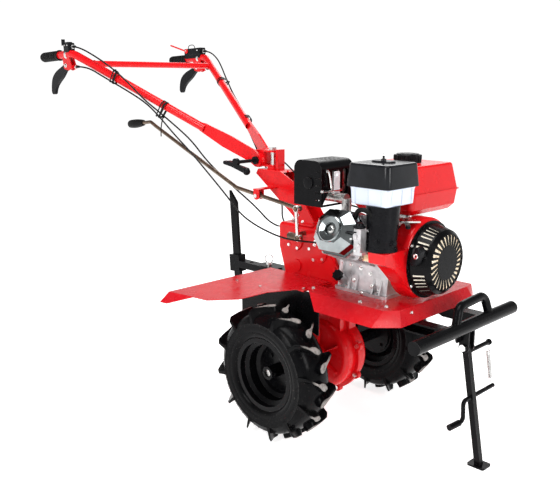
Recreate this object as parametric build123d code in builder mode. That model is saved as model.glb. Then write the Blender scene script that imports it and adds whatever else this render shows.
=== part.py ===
from build123d import *
import os
from math import atan2, cos, degrees, hypot, pi, radians, sin, tan

# Walk-behind power tiller: a single-cylinder petrol engine drives two lugged
# wheels through an upright gearbox. Millimetres, +X forward, +Y left, +Z up,
# origin on the ground under the middle of the overall box.

os.makedirs("parts", exist_ok=True)

# ---------------------------------------------------------------- sizes
# Stance. The axle is the datum of the machine.
axle_x = 310.0
tyre_tip_radius = 207.5
axle_z = tyre_tip_radius
track_half = 258.0

# General stock and fits
sheet = 2.0
plate = 5.0
running_clearance = 0.05
bolt_clearance = 0.3
seat_clearance = 0.2
bolt_radius = 4.0
bolt_head_radius = 7.0
bolt_head_height = 5.0

# Wheels: tyre of the 4.00-8 farm size
bead_radius = 101.6
bead_half_width = 44.0
carcass_half_width = 58.0
carcass_crown_radius = 189.0
carcass_shoulder_radius = 178.0
carcass_wall = 9.0
lug_count = 12
lug_width = 17.0
lug_sweep = 38.0
rim_thickness = 3.0
rim_lip_radius = 112.0
rim_well_radius = 88.0
rim_disc_inset = 24.0
rim_bolt_circle = 49.0
rim_bolt_count = 4
hub_bore_flats = 23.0
hub_radius = 20.0
hub_flange_radius = 64.0
hub_flange_thickness = 6.0
hub_inner_y = 84.0
hub_outer_y = 286.0
hub_pin_y = 272.0
journal_radius = 15.0
axle_half = 280.0

# Axle gearbox
drum_radius = 113.0
drum_half_width = 54.0
drum_round = 20.0
flange_margin = 12.0
flange_thickness = 7.0
boss_radius = 34.0
boss_half_width = 78.0
neck_rear = -35.0
neck_front = 72.0
neck_half_width = 38.0
neck_top_z = 402.5
gearbox_bolt_angles = (-118, -72, -26, 20, 160, 206)

# Upper transmission case and bell housing
crank_z = 572.0
case_half_width = 42.0
case_top_z = 613.0
case_rear = -196.0
bell_rear = 40.0
bell_front = 95.0
bell_radius = 100.0
bell_throat = 66.0
clutch_gland_x = 60.0
clutch_gland_y = -84.0
clutch_gland_z = 592.0

# Chassis
deck_z = 455.0
rail_inner_y = 72.0
rail_width = 40.0
rail_depth = 40.0
rail_wall = 4.0
cross_plate = 8.0
bumper_x = 493.0
bumper_z = 405.0
bumper_radius = 19.0
bumper_half = 251.0
bumper_wall = 3.0
hoop_radius = 12.5

# Tray and fenders
tray_rear = 40.0
tray_top_half = 185.0
tray_skirt_half = 235.0
tray_skirt_drop = 36.0
tray_front = 402.0
tray_far_top = [(375.0, 190.0), (367.0, 229.0), (tray_rear, 229.0)]
tray_far_skirt = [(402.0, 190.0), (373.0, 236.0), (tray_rear, 236.0)]
fender_z = 450.0
fender_outer_y = 466.0
fender_flap = 18.0
fender_flap_drop = 32.0
fender_bolt_radius = 3.0
stay_plate = 4.0

# Front stand
stand_y = 18.0
stand_pivot_x = 485.0
stand_pivot_z = 340.0
stand_pin_radius = 6.0
stand_tube = 18.0
stand_foot_x = 546.0
stand_ear_gap = 11.0
spring_y = 126.0
spring_radius = 6.5
spring_top_z = 325.0
spring_foot_z = 197.0
rod_radius = 6.2
pedal_radius = 9.0

# Engine
engine_x = 205.0
case_rear_x = 105.0
case_front_x = 285.0
engine_base_half = 92.0
engine_foot_height = 9.0
engine_bolt_columns = (140.0, 250.0)
engine_bolt_half = 90.0
cylinder_tilt = 22.0
barrel_half_x = 58.0
barrel_half_high = 54.0
fin_pitch = 8.0
fin_thickness = 2.5
fin_margin = 9.0
head_start = 150.0
head_end = 216.0
head_cover_end = 266.0
head_cover_half_x = 72.0
head_cover_half_high = 64.0
crank_radius = 12.5
shroud_rear = 306.0
shroud_front = 362.0
shroud_radius = 118.0
shroud_mouth = 93.0
starter_front = 423.0
starter_base_radius = 103.0
starter_face_radius = 88.0
starter_wall = 3.0
slot_count = 28
slot_inner = 47.0
slot_outer = 79.0
slot_width = 5.0
fan_radius = 84.0
blade_count = 20
blade_depth = 58.0

# Fuel tank and air cleaner
tank_x = 215.0
tank_y = 77.0
tank_length = 232.0
tank_width = 246.0
tank_floor_z = 692.0
tank_seam_z = 752.0
tank_foot = 15.0
tank_top_z = 828.0
cap_x = 232.0
cap_y = 62.0
cap_radius = 38.0
cap_height = 22.0
neck_radius = 29.0
air_x = 289.0
air_y = -129.0
air_length = 146.0
air_width = 146.0
air_floor_z = 738.0
air_split_z = 786.0
air_top_z = 849.0
air_wall = 2.5

# Muffler
muffler_x = 66.0
muffler_y = -118.0
muffler_length = 106.0
muffler_width = 138.0
muffler_floor_z = 712.0
muffler_top_z = 842.0

# Speed control under the tank
lever_x = 326.0
lever_y = -66.0
lever_length = 52.0
lever_pin_radius = 4.0
gland_x = 120.0
gland_y = 12.0
gland_z = 686.0

# Handlebar and column
column_half = 32.0
column_top_z = 776.0
swing_x = -262.0
swing_bush_radius = 11.0
swing_pin_radius = 8.0
swing_fork_low = 784.0
swing_fork_high = 838.0
swing_plate = 6.0
tilt_x = -304.0
tilt_z = 804.0
tilt_rod_radius = 6.0
lug_half = 22.0
handle_radius = 14.0
handle_wall = 2.0
cross_bar_radius = 11.0
grip_radius = 18.0
grip_end = (-1193.0, 302.0, 1148.0)
handle_bend = (-973.0, 306.0, 1157.0)

# Hitch
hitch_z = 424.0
hitch_pin_x = -284.0
hitch_pin_radius = 8.0
clevis_half = 30.0
clevis_plate = 7.0
drawbar_thickness = 24.0
drawbar_half = 18.0
drag_bar_x = -446.0
drag_bar_tilt = 4.0
drag_bar_deep = 34.0
drag_bar_wide = 12.0
drag_bar_foot = 357.0
drag_bar_top = 684.0

# Shift linkage
shift_y = -105.0
shift_rod_radius = 6.5
knob_seat_x = -846.0
knob_length = 88.0
fulcrum = (-223.0, 702.0)
link_top = (-46.0, 680.0)
link_foot = (-38.0, 590.0)
selector_x = -78.0
selector_radius = 7.0
link_play = 1.3


# ---------------------------------------------------------------- helpers
def keep(name, shape):
    """Label a finished piece and write it to its own STEP file."""
    shape.label = name
    export_step(shape, f"parts/{name}.step")


def from_axle(x, y, z):
    """A point given by its distance ahead of the axle."""
    return (axle_x + x, y, z)


def side_plane(y, x=0.0, z=0.0):
    """Upright lengthwise plane: local x forward, local y up, normal to the right."""
    return Plane(from_axle(x, y, z), x_dir=(1, 0, 0), z_dir=(0, -1, 0))


def front_plane(x, y=0.0, z=0.0):
    """Upright crosswise plane: local x to the left, local y up, normal forward."""
    return Plane(from_axle(x, y, z), x_dir=(0, 1, 0), z_dir=(1, 0, 0))


def level_plane(z, x=0.0, y=0.0):
    """Level plane: local x forward, local y to the left, normal up."""
    return Plane(from_axle(x, y, z))


def round_bar(start, end, radius, inner=0.0):
    """A straight round bar, or a tube where an inner radius is given."""
    run = Vector(*end) - Vector(*start)
    with BuildPart() as bar:
        with BuildSketch(Plane(start, z_dir=run)):
            Circle(radius)
            if inner:
                Circle(inner, mode=Mode.SUBTRACT)
        extrude(amount=run.length)
    return bar.part


def bent_bar(points, bends, radius, inner=0.0):
    """A round bar or tube through straight runs joined by bends."""
    with BuildPart() as bar:
        with BuildLine() as route:
            FilletPolyline(*points, radius=bends)
        with BuildSketch(Plane(route.line @ 0, z_dir=route.line % 0)):
            Circle(radius)
            if inner:
                Circle(inner, mode=Mode.SUBTRACT)
        sweep(path=route.line)
    return bar.part


def hex_bolt(seat, direction, shank, radius=bolt_radius, nut_at=0.0):
    """A hexagon bolt: the head stands on its seat, the shank runs the other way."""
    head = Plane(seat, z_dir=direction)
    with BuildPart() as bolt:
        with BuildSketch(head):
            RegularPolygon(radius * 1.75, 6)
        extrude(amount=radius * 1.25)
        with BuildSketch(head):
            Circle(radius)
        extrude(amount=-shank)
        if nut_at:
            with BuildSketch(head.offset(-nut_at)):
                RegularPolygon(radius * 1.75, 6)
            extrude(amount=-radius * 1.25)
    return bolt.part


def group(name, shapes):
    """Keep a set of like pieces together as separate solids of one node."""
    keep(name, Compound(children=list(shapes)))


def keep_pair(name, left):
    """Keep a left-hand piece and its mirror image as two nodes."""
    keep(f"{name}_left", left)
    keep(f"{name}_right", mirror(left, about=Plane.XZ))


body_bolts = []


# ---------------------------------------------------------------- wheels
axle_line = Axis(from_axle(0, 0, axle_z), (0, 1, 0))
disc_face = track_half - rim_disc_inset


def wheel_section(side):
    """Section plane of a wheel: local x outward from its middle, local y up."""
    middle = from_axle(0, side * track_half, axle_z)
    return Plane(middle, x_dir=(0, side, 0), z_dir=(side, 0, 0))


def wheel_face(side, y):
    """Plane across the axle, normal outward."""
    return Plane(from_axle(0, side * y, axle_z), x_dir=(1, 0, 0), z_dir=(0, side, 0))


def tyre_lug(side, row):
    """One traction lug: a skewed bar from mid tread out over the shoulder."""
    root = carcass_shoulder_radius - 16
    tread = Plane(from_axle(0, side * track_half, axle_z + root))
    outer = row * (carcass_half_width + 2)
    inner = -row * 4
    half = lug_width / 2
    outline = [
        (-half, inner),
        (half, inner),
        (half * 1.3 - lug_sweep, outer),
        (-half * 1.3 - lug_sweep, outer),
    ]
    with BuildPart() as lug:
        with BuildSketch(tread):
            with BuildLine():
                Polyline(*outline[::row], close=True)
            make_face()
        extrude(amount=tyre_tip_radius - root + 8, taper=4)
        with BuildSketch(wheel_face(1, side * track_half)):
            Circle(tyre_tip_radius)
        extrude(amount=carcass_half_width + 10, both=True, mode=Mode.INTERSECT)
    return lug.part


def make_tyre(side):
    """Hollow carcass with two staggered rows of lugs."""
    bead = bead_radius + seat_clearance
    rows = []
    pitch = 360 / lug_count
    for row, phase in ((1, 0.0), (-1, 0.5)):
        lug = tyre_lug(side, row)
        for step in range(lug_count):
            rows.append(lug.rotate(axle_line, 180 + (step + phase) * pitch))
    with BuildPart() as tyre:
        with BuildSketch(wheel_section(side)):
            with BuildLine():
                ThreePointArc(
                    (-46, carcass_shoulder_radius),
                    (0, carcass_crown_radius),
                    (46, carcass_shoulder_radius),
                )
                ThreePointArc(
                    (46, carcass_shoulder_radius),
                    (carcass_half_width, 148),
                    (bead_half_width + 4, rim_lip_radius + 2),
                )
                Polyline(
                    (bead_half_width + 4, rim_lip_radius + 2),
                    (bead_half_width, rim_lip_radius),
                    (bead_half_width, bead),
                    (bead_half_width - 14, bead),
                )
                ThreePointArc((bead_half_width - 14, bead), (45, 146), (0, carcass_crown_radius - carcass_wall))
                ThreePointArc((0, carcass_crown_radius - carcass_wall), (-45, 146), (14 - bead_half_width, bead))
                Polyline(
                    (14 - bead_half_width, bead),
                    (-bead_half_width, bead),
                    (-bead_half_width, rim_lip_radius),
                    (-bead_half_width - 4, rim_lip_radius + 2),
                )
                ThreePointArc(
                    (-bead_half_width - 4, rim_lip_radius + 2),
                    (-carcass_half_width, 148),
                    (-46, carcass_shoulder_radius),
                )
            make_face()
        revolve(axis=axle_line)
        add(rows)
    return tyre.part


def make_rim(side):
    """Pressed rim: lips, bead seats, drop centre and a dished disc."""
    lip = bead_half_width + rim_thickness / 2 + seat_clearance
    seat = bead_radius - rim_thickness / 2
    inset = rim_thickness / 2 - rim_disc_inset - rim_thickness
    with BuildPart() as rim:
        with BuildSketch(wheel_section(side)):
            with BuildLine():
                Polyline(
                    (-lip, rim_lip_radius),
                    (-lip, seat),
                    (-27, seat),
                    (-20, rim_well_radius),
                    (20, rim_well_radius),
                    (27, seat),
                    (lip, seat),
                    (lip, rim_lip_radius),
                )
            trace(line_width=rim_thickness)
            with BuildLine():
                Polyline(
                    (-10, rim_well_radius - 1),
                    (-16, rim_well_radius - 12),
                    (inset, hub_flange_radius + 6),
                    (inset, hub_radius + rim_thickness / 2 + bolt_clearance - 1),
                )
            trace(line_width=rim_thickness)
        revolve(axis=axle_line)
        with BuildSketch(wheel_face(side, disc_face)):
            with PolarLocations(rim_bolt_circle, rim_bolt_count, 45):
                Circle(bolt_radius + bolt_clearance)
        extrude(amount=12, both=True, mode=Mode.SUBTRACT)
    return rim.part


def make_hub(side):
    """Hexagon-bored sleeve with the flange that carries the rim."""
    flange_face = disc_face - rim_thickness
    with BuildPart() as hub:
        with BuildSketch(wheel_face(side, hub_inner_y)):
            Circle(hub_radius)
        extrude(amount=hub_outer_y - hub_inner_y)
        with BuildSketch(wheel_face(side, flange_face)):
            Circle(hub_flange_radius)
            with PolarLocations(rim_bolt_circle, rim_bolt_count, 45):
                Circle(bolt_radius + bolt_clearance, mode=Mode.SUBTRACT)
        extrude(amount=-hub_flange_thickness)
        with BuildSketch(wheel_face(side, hub_inner_y)):
            RegularPolygon(hub_bore_flats / 2 + running_clearance, 6, major_radius=False)
        extrude(amount=hub_outer_y - hub_inner_y, mode=Mode.SUBTRACT)
        with BuildSketch(front_plane(0, side * hub_pin_y, axle_z)):
            Circle(bolt_radius + bolt_clearance)
        extrude(amount=hub_radius + 1, both=True, mode=Mode.SUBTRACT)
    return hub.part


def make_axle():
    """Axle shaft: round journal in the gearbox, hexagonal towards the wheels."""
    with BuildPart() as axle:
        with BuildSketch(wheel_face(1, 0)):
            RegularPolygon(hub_bore_flats / 2, 6, major_radius=False)
        extrude(amount=axle_half, both=True)
        with BuildSketch(wheel_face(1, 0)):
            Circle(journal_radius)
        extrude(amount=hub_inner_y - 2, both=True)
        for side in (1, -1):
            with BuildSketch(front_plane(0, side * hub_pin_y, axle_z)):
                Circle(bolt_radius + bolt_clearance)
            extrude(amount=hub_radius, both=True, mode=Mode.SUBTRACT)
    return axle.part


def make_wheels():
    keep("axle_shaft", make_axle())
    wheel_bolts = []
    keep_pair("tyre", make_tyre(1))
    keep_pair("rim", make_rim(1))
    keep_pair("hub", make_hub(1))
    for side in (1, -1):
        for step in range(rim_bolt_count):
            turn = radians(45 + step * 360 / rim_bolt_count)
            seat = from_axle(
                rim_bolt_circle * cos(turn),
                side * disc_face,
                axle_z + rim_bolt_circle * sin(turn),
            )
            grip = rim_thickness + hub_flange_thickness
            wheel_bolts.append(hex_bolt(seat, (0, side, 0), grip + 8, nut_at=grip))
        pin_seat = from_axle(hub_radius, side * hub_pin_y, axle_z)
        across = 2 * hub_radius
        wheel_bolts.append(hex_bolt(pin_seat, (1, 0, 0), across + 8, nut_at=across))
    group("wheel_bolts", wheel_bolts)


# ---------------------------------------------------------------- gearbox
def gearbox_bolt_places():
    """Centres of the flange bolts round the drum, as (forward, up) offsets."""
    reach = drum_radius + flange_margin - 1
    return [(reach * cos(radians(a)), reach * sin(radians(a))) for a in gearbox_bolt_angles]


def make_gearbox_half():
    """Right half of the axle gearbox: domed drum, neck, joint flange and boss."""
    neck_width = neck_front - neck_rear
    neck_middle = (neck_front + neck_rear) / 2
    neck_height = neck_top_z - axle_z
    with BuildPart() as half:
        with BuildSketch(side_plane(0, 0, axle_z)):
            Circle(drum_radius)
        extrude(amount=drum_half_width)
        fillet(half.edges().sort_by(Axis.Y)[0], drum_round)
        with BuildSketch(side_plane(0, 0, axle_z)):
            with Locations((neck_middle, 0)):
                Rectangle(neck_width, neck_height, align=(Align.CENTER, Align.MIN))
        extrude(amount=neck_half_width)
        with BuildSketch(side_plane(0, 0, axle_z)):
            Circle(drum_radius + flange_margin)
            with Locations((neck_middle, 0)):
                Rectangle(
                    neck_width + 2 * flange_margin,
                    neck_height,
                    align=(Align.CENTER, Align.MIN),
                )
            with Locations(*gearbox_bolt_places()):
                Circle(13)
        extrude(amount=flange_thickness)
        with BuildSketch(side_plane(0, 0, axle_z)):
            Circle(boss_radius)
        extrude(amount=boss_half_width)
        with BuildSketch(side_plane(-drum_half_width + 1, 0, axle_z)):
            with PolarLocations(0, 6, 30):
                Rectangle(drum_radius - drum_round - 4, 7, align=(Align.MIN, Align.CENTER))
        extrude(amount=9, taper=20)
        with BuildSketch(side_plane(0, 0, axle_z)):
            Circle(journal_radius + running_clearance)
            with Locations(*gearbox_bolt_places()):
                Circle(bolt_radius + bolt_clearance)
        extrude(amount=boss_half_width, mode=Mode.SUBTRACT)
        with BuildSketch(level_plane(neck_top_z, neck_middle)):
            Rectangle(neck_width + 2 * flange_margin, 2 * neck_half_width + 8)
        extrude(amount=-flange_thickness)
        split(bisect_by=Plane.XZ, keep=Keep.TOP)
    return half.part


def make_gearbox():
    half = make_gearbox_half()
    keep("gearbox_right", half)
    keep("gearbox_left", mirror(half, about=Plane.XZ))
    grip = 2 * flange_thickness
    for forward, up in gearbox_bolt_places():
        seat = from_axle(forward, -flange_thickness, axle_z + up)
        body_bolts.append(hex_bolt(seat, (0, -1, 0), grip + 7, nut_at=grip))


case_outline = [
    (case_rear, case_top_z),
    (case_rear, 531),
    (-168, 443),
    (neck_rear - flange_margin, neck_top_z),
    (neck_front + flange_margin, neck_top_z),
    (neck_front + flange_margin, 448),
    (bell_rear + 10, 500),
    (bell_rear + 10, case_top_z),
]


def make_transmission_case():
    """Upper case behind the engine with the bell that takes the engine."""
    with BuildPart() as case:
        with BuildSketch(side_plane(0)):
            with BuildLine():
                Polyline(*case_outline, close=True)
            make_face()
            fillet(vertices().group_by(Axis.X)[0], 14)
        extrude(amount=case_half_width, both=True)
        fillet(case.edges().filter_by(GeomType.LINE).group_by(Axis.X)[0], 10)
        with BuildSketch(side_plane(0)):
            with BuildLine():
                Polyline(
                    (bell_rear, crank_z),
                    (bell_rear, crank_z + bell_throat),
                    (bell_front - 10, crank_z + bell_radius - 6),
                    (bell_front - 10, crank_z + bell_radius),
                    (bell_front, crank_z + bell_radius),
                    (bell_front, crank_z),
                    close=True,
                )
            make_face()
        revolve(axis=Axis(from_axle(0, 0, crank_z), (1, 0, 0)))
        with BuildSketch(front_plane(bell_front, 0, crank_z)):
            Circle(crank_radius + 3)
        extrude(amount=-40, mode=Mode.SUBTRACT)
        with BuildSketch(side_plane(clutch_gland_y, clutch_gland_x, clutch_gland_z)):
            Circle(7)
        extrude(amount=-20)
        for x, z, radius in ((-120, 560, 34), (-20, 540, 40), (-110, 480, 20)):
            with BuildSketch(side_plane(-case_half_width, x, z)):
                Circle(radius)
            extrude(amount=5, taper=12)
    return case.part


def make_case_fittings():
    """Bolts round the case's side covers, and the filler plug on top."""
    for x, z, reach, count in ((-120, 560, 27, 4), (-20, 540, 32, 5)):
        for step in range(count):
            turn = 2 * pi * (step + 0.4) / count
            seat = from_axle(x + reach * cos(turn), -case_half_width - 5, z + reach * sin(turn))
            with BuildPart() as bolt:
                with BuildSketch(Plane(seat, z_dir=(0, -1, 0))):
                    RegularPolygon(bolt_head_radius - 1.5, 6)
                extrude(amount=bolt_head_height - 1)
            body_bolts.append(bolt.part)
    with BuildPart() as plug:
        with BuildSketch(level_plane(case_top_z, case_rear + 34)):
            RegularPolygon(11, 6)
        extrude(amount=9)
        with BuildSketch(level_plane(case_top_z + 9, case_rear + 34)):
            Circle(6)
        extrude(amount=7)
    body_bolts.append(plug.part)


# ---------------------------------------------------------------- chassis
rail_end_x = bumper_x - bumper_radius
rail_drop_x = tray_front - 110
rail_nose_x = tray_front - 32
rail_nose_high = bumper_z + 13
rail_nose_low = bumper_z - 17


def make_frame():
    """Two channel rails on a cross plate, coped to the bumper tube."""
    rear = neck_front + flange_margin
    with BuildPart() as frame:
        for side in (1, -1):
            middle = side * (rail_inner_y + rail_width / 2)
            with BuildSketch(side_plane(middle)):
                with BuildLine():
                    Polyline(
                        (rear + cross_plate, deck_z - rail_depth),
                        (rail_drop_x, deck_z - rail_depth),
                        (rail_nose_x, rail_nose_low),
                        (bumper_x, rail_nose_low),
                        (bumper_x, rail_nose_high),
                        (rail_nose_x, rail_nose_high),
                        (rail_drop_x, deck_z),
                        (rear + cross_plate, deck_z),
                        close=True,
                    )
                make_face()
            extrude(amount=rail_width / 2, both=True)
            with BuildSketch(side_plane(middle + side * rail_wall)):
                with BuildLine():
                    Polyline(
                        (rear + cross_plate + 4, deck_z - rail_depth + rail_wall),
                        (rail_drop_x, deck_z - rail_depth + rail_wall),
                        (rail_nose_x, rail_nose_low + rail_wall),
                        (rail_end_x - 12, rail_nose_low + rail_wall),
                        (rail_end_x - 12, rail_nose_high - rail_wall),
                        (rail_nose_x - 2, rail_nose_high - rail_wall),
                        (rail_drop_x - 2, deck_z - rail_wall),
                        (rear + cross_plate + 4, deck_z - rail_wall),
                        close=True,
                    )
                make_face()
            extrude(amount=rail_width / 2, both=True, mode=Mode.SUBTRACT)
        with BuildSketch(front_plane(rear, 0, deck_z - rail_depth / 2)):
            Rectangle(2 * (rail_inner_y + rail_width), rail_depth)
        extrude(amount=cross_plate)
        for x in engine_bolt_columns:
            with BuildSketch(level_plane(deck_z - rail_depth, x)):
                Rectangle(34, 2 * rail_inner_y)
            extrude(amount=rail_wall)
        with BuildSketch(side_plane(0, bumper_x, bumper_z)):
            Circle(bumper_radius)
        extrude(amount=bumper_half, both=True, mode=Mode.SUBTRACT)
        with BuildSketch(level_plane(deck_z)):
            with Locations(*engine_bolt_places()):
                Circle(bolt_radius + bolt_clearance)
        extrude(amount=-rail_wall, mode=Mode.SUBTRACT)
    return frame.part


def engine_bolt_places():
    """Engine foot bolts on the deck, as places ahead of the axle and left of the middle."""
    return [(x, side * engine_bolt_half) for x in engine_bolt_columns for side in (1, -1)]


def make_bumper():
    """Cross tube with a lifting hoop bent over it."""
    with BuildPart() as tube:
        with BuildSketch(side_plane(0, bumper_x, bumper_z)):
            Circle(bumper_radius)
            Circle(bumper_radius - bumper_wall, mode=Mode.SUBTRACT)
        extrude(amount=bumper_half, both=True)
    hoop_route = [
        from_axle(bumper_x - 2, -56, bumper_z),
        from_axle(bumper_x - 14, -22, 462),
        from_axle(bumper_x - 14, 108, 470),
        from_axle(bumper_x - 2, 124, bumper_z),
    ]
    bar = bent_bar(hoop_route, [34, 30], hoop_radius)
    with BuildPart() as hoop:
        add(bar)
        with BuildSketch(side_plane(0, bumper_x, bumper_z)):
            Circle(bumper_radius - bumper_wall)
        extrude(amount=bumper_half, both=True, mode=Mode.SUBTRACT)
    bracket = make_stand_bracket()
    with BuildPart() as bumper:
        add(tube.part)
        add(hoop.part)
        add(bracket)
        for side in (1, -1):
            with BuildSketch(side_plane(side * bumper_half, bumper_x, bumper_z)):
                Circle(bumper_radius)
            extrude(amount=side * bumper_wall)
    keep("bumper", bumper.part)


def fold_sheet(low_plane, low, high_plane, high):
    """Solid between two outlines with matching corners."""
    with BuildPart() as fold:
        with BuildSketch(low_plane):
            with BuildLine():
                Polyline(*low, close=True)
            make_face()
        with BuildSketch(high_plane):
            with BuildLine():
                Polyline(*high, close=True)
            make_face()
        loft()
    return fold.part


def make_tray():
    """Folded sheet tray under the engine, with skirts at the sides and front."""
    low_z = deck_z + sheet - tray_skirt_drop
    high = [(tray_rear, -tray_top_half), (345, -tray_top_half), (375, -150)] + tray_far_top
    low = [(tray_rear, -tray_skirt_half), (345, -tray_skirt_half), (tray_front, -178)] + tray_far_skirt
    outer = fold_sheet(level_plane(low_z), low, level_plane(deck_z + sheet), high)
    inner = fold_sheet(level_plane(low_z - sheet), low, level_plane(deck_z), high)
    with BuildPart() as tray:
        add(outer)
        add(inner, mode=Mode.SUBTRACT)
        for side in (1, -1):
            with BuildSketch(level_plane(deck_z + 20)):
                with BuildLine():
                    Polyline(
                        *[
                            (30, side * 140),
                            (48, side * 165),
                            (144, side * (tray_skirt_half + 2)),
                            (144, side * (tray_skirt_half + 20)),
                            (30, side * (tray_skirt_half + 20)),
                        ][::side],
                        close=True,
                    )
                make_face()
            extrude(amount=-90, mode=Mode.SUBTRACT)
        with BuildSketch(level_plane(deck_z)):
            with Locations((neck_front + flange_margin + cross_plate / 2 - 50, 0)):
                Rectangle(100, 2 * (rail_inner_y + rail_width) + 10)
            with Locations(*engine_bolt_places()):
                Circle(bolt_radius + bolt_clearance)
        extrude(amount=30, both=True, mode=Mode.SUBTRACT)
    return tray.part


# ---------------------------------------------------------------- fenders
fender_bolt_places = [(-177.0, 244.0), (-76.0, 241.0), (28.0, 160.0)]


def make_fender():
    """Left fender: level sheet over the wheel with the outer end turned down."""
    inner_y = case_half_width + 6
    outline = [
        (34, inner_y),
        (34, 150),
        (-20, 262),
        (-27, 372),
        (-84, 443),
        (-134, 450),
        (-232, fender_outer_y),
        (-226, inner_y),
    ]
    with BuildPart() as fender:
        with BuildSketch(level_plane(fender_z)):
            with BuildLine():
                Polyline(*outline, close=True)
            make_face()
        extrude(amount=sheet)
        fold = Vector(-232 + 134, fender_outer_y - 450, 0)
        down = Vector(-fold.Y, fold.X, 0).normalized() * -fender_flap
        down += Vector(0, 0, -fender_flap_drop)
        flap = Plane(from_axle(-134, 450, fender_z + sheet), x_dir=fold, z_dir=fold.cross(down))
        with BuildSketch(flap):
            with BuildLine():
                Polyline(
                    (0, 0),
                    (fold.length, 0),
                    (fold.length + 22, down.length),
                    (fold.length - 5, down.length),
                    close=True,
                )
            make_face()
        extrude(amount=sheet)
        with BuildSketch(level_plane(fender_z)):
            with Locations(*fender_bolt_places):
                Circle(fender_bolt_radius + bolt_clearance)
        extrude(amount=sheet, mode=Mode.SUBTRACT)
    return fender.part


def make_fender_stay():
    """Left stay: a strip on the case side with three arms under the fender."""
    with BuildPart() as stay:
        with BuildSketch(side_plane(case_half_width)):
            with Locations((-60, fender_z - 11)):
                Rectangle(284, 22)
        extrude(amount=-stay_plate)
        for x, reach in fender_bolt_places:
            with BuildSketch(level_plane(fender_z)):
                with Locations((x, case_half_width)):
                    Rectangle(26, reach + 14 - case_half_width, align=(Align.CENTER, Align.MIN))
            extrude(amount=-stay_plate)
        with BuildSketch(level_plane(fender_z)):
            with Locations(*fender_bolt_places):
                Circle(fender_bolt_radius + bolt_clearance)
        extrude(amount=-stay_plate, mode=Mode.SUBTRACT)
    return stay.part


def make_fenders():
    keep_pair("fender", make_fender())
    stay = make_fender_stay()
    group("fender_stays", [stay, mirror(stay, about=Plane.XZ)])
    grip = sheet + stay_plate
    for side in (1, -1):
        for x, y in fender_bolt_places:
            seat = from_axle(x, side * y, fender_z + sheet)
            body_bolts.append(hex_bolt(seat, (0, 0, 1), grip + 9, fender_bolt_radius, grip))


# ---------------------------------------------------------------- front stand
stand_lean = Vector(stand_foot_x - stand_pivot_x, 0, -stand_pivot_z)
stand_half = stand_tube / 2
pedal_drop = stand_pivot_z - spring_foot_z
pedal_x = stand_pivot_x + pedal_drop * stand_lean.X / -stand_lean.Z


def make_stand_bracket():
    """Plate and two ears under the bumper, with the rod that the spring hangs on."""
    with BuildPart() as bracket:
        with BuildSketch(front_plane(stand_pivot_x - stand_half - plate - 1, stand_y)):
            with BuildLine():
                Polyline(
                    (-50, bumper_z),
                    (50, bumper_z),
                    (34, stand_pivot_z + stand_half + 6),
                    (-34, stand_pivot_z + stand_half + 6),
                    close=True,
                )
            make_face()
        extrude(amount=plate)
        for side in (1, -1):
            with BuildSketch(side_plane(stand_y + side * (stand_ear_gap + plate / 2))):
                with BuildLine():
                    Polyline(
                        (stand_pivot_x - stand_half - plate - 1, bumper_z),
                        (stand_pivot_x - stand_half - plate - 1, stand_pivot_z + 24),
                        (stand_pivot_x - 15, stand_pivot_z),
                        (stand_pivot_x + 15, stand_pivot_z),
                        (stand_pivot_x + 15, bumper_z),
                        close=True,
                    )
                make_face()
                with Locations((stand_pivot_x, stand_pivot_z)):
                    Circle(16)
                    Circle(stand_pin_radius, mode=Mode.SUBTRACT)
            extrude(amount=plate / 2, both=True)
        with BuildSketch(side_plane(stand_y + stand_ear_gap + plate, 490, spring_top_z)):
            Circle(rod_radius)
        extrude(amount=-(spring_y + 10 - stand_y - stand_ear_gap - plate))
        with BuildSketch(side_plane(spring_y + 5, 490, spring_top_z)):
            Circle(rod_radius + 3)
        extrude(amount=-4)
        with BuildSketch(side_plane(0, bumper_x, bumper_z)):
            Circle(bumper_radius)
        extrude(amount=bumper_half, both=True, mode=Mode.SUBTRACT)
        split(bisect_by=Plane.XY.offset(bumper_z - 6), keep=Keep.BOTTOM)
    return bracket.part


def make_stand_leg():
    """Square leg hinged on its pin, with a round top and a foot plate."""
    leg_plane = Plane(from_axle(stand_pivot_x, stand_y, stand_pivot_z), x_dir=stand_lean, z_dir=(0, -1, 0))
    with BuildPart() as leg:
        with BuildSketch(leg_plane):
            Rectangle(stand_lean.length + 10, stand_tube, align=(Align.MIN, Align.CENTER))
            Circle(stand_half)
        extrude(amount=stand_half, both=True)
        split(bisect_by=Plane.XY.offset(plate), keep=Keep.TOP)
        with BuildSketch(level_plane(0, stand_foot_x, stand_y)):
            RectangleRounded(54, 46, 8)
        extrude(amount=plate)
        with BuildSketch(side_plane(stand_y, stand_pivot_x, stand_pivot_z)):
            Circle(stand_pin_radius + running_clearance)
        extrude(amount=stand_tube, both=True, mode=Mode.SUBTRACT)
        with BuildSketch(side_plane(stand_y, pedal_x, spring_foot_z)):
            Circle(rod_radius)
        extrude(amount=stand_tube, both=True, mode=Mode.SUBTRACT)
    return leg.part


def make_stand_pedal():
    """Bent rod through the leg: spring post on one side, foot pedal on the other."""
    route = [
        from_axle(pedal_x, spring_y + 10, spring_foot_z),
        from_axle(pedal_x, -26, spring_foot_z),
        from_axle(pedal_x + 4, -29, spring_foot_z - 56),
        from_axle(pedal_x - 4, -84, spring_foot_z - 60),
    ]
    end = Vector(*route[-1])
    back = (Vector(*route[-2]) - end).normalized()
    with BuildPart() as pedal:
        add(bent_bar(route, [14, 14], rod_radius))
        add(round_bar(end + back * 40, end - back * 2, pedal_radius))
    keep("stand_pedal", pedal.part)


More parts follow.
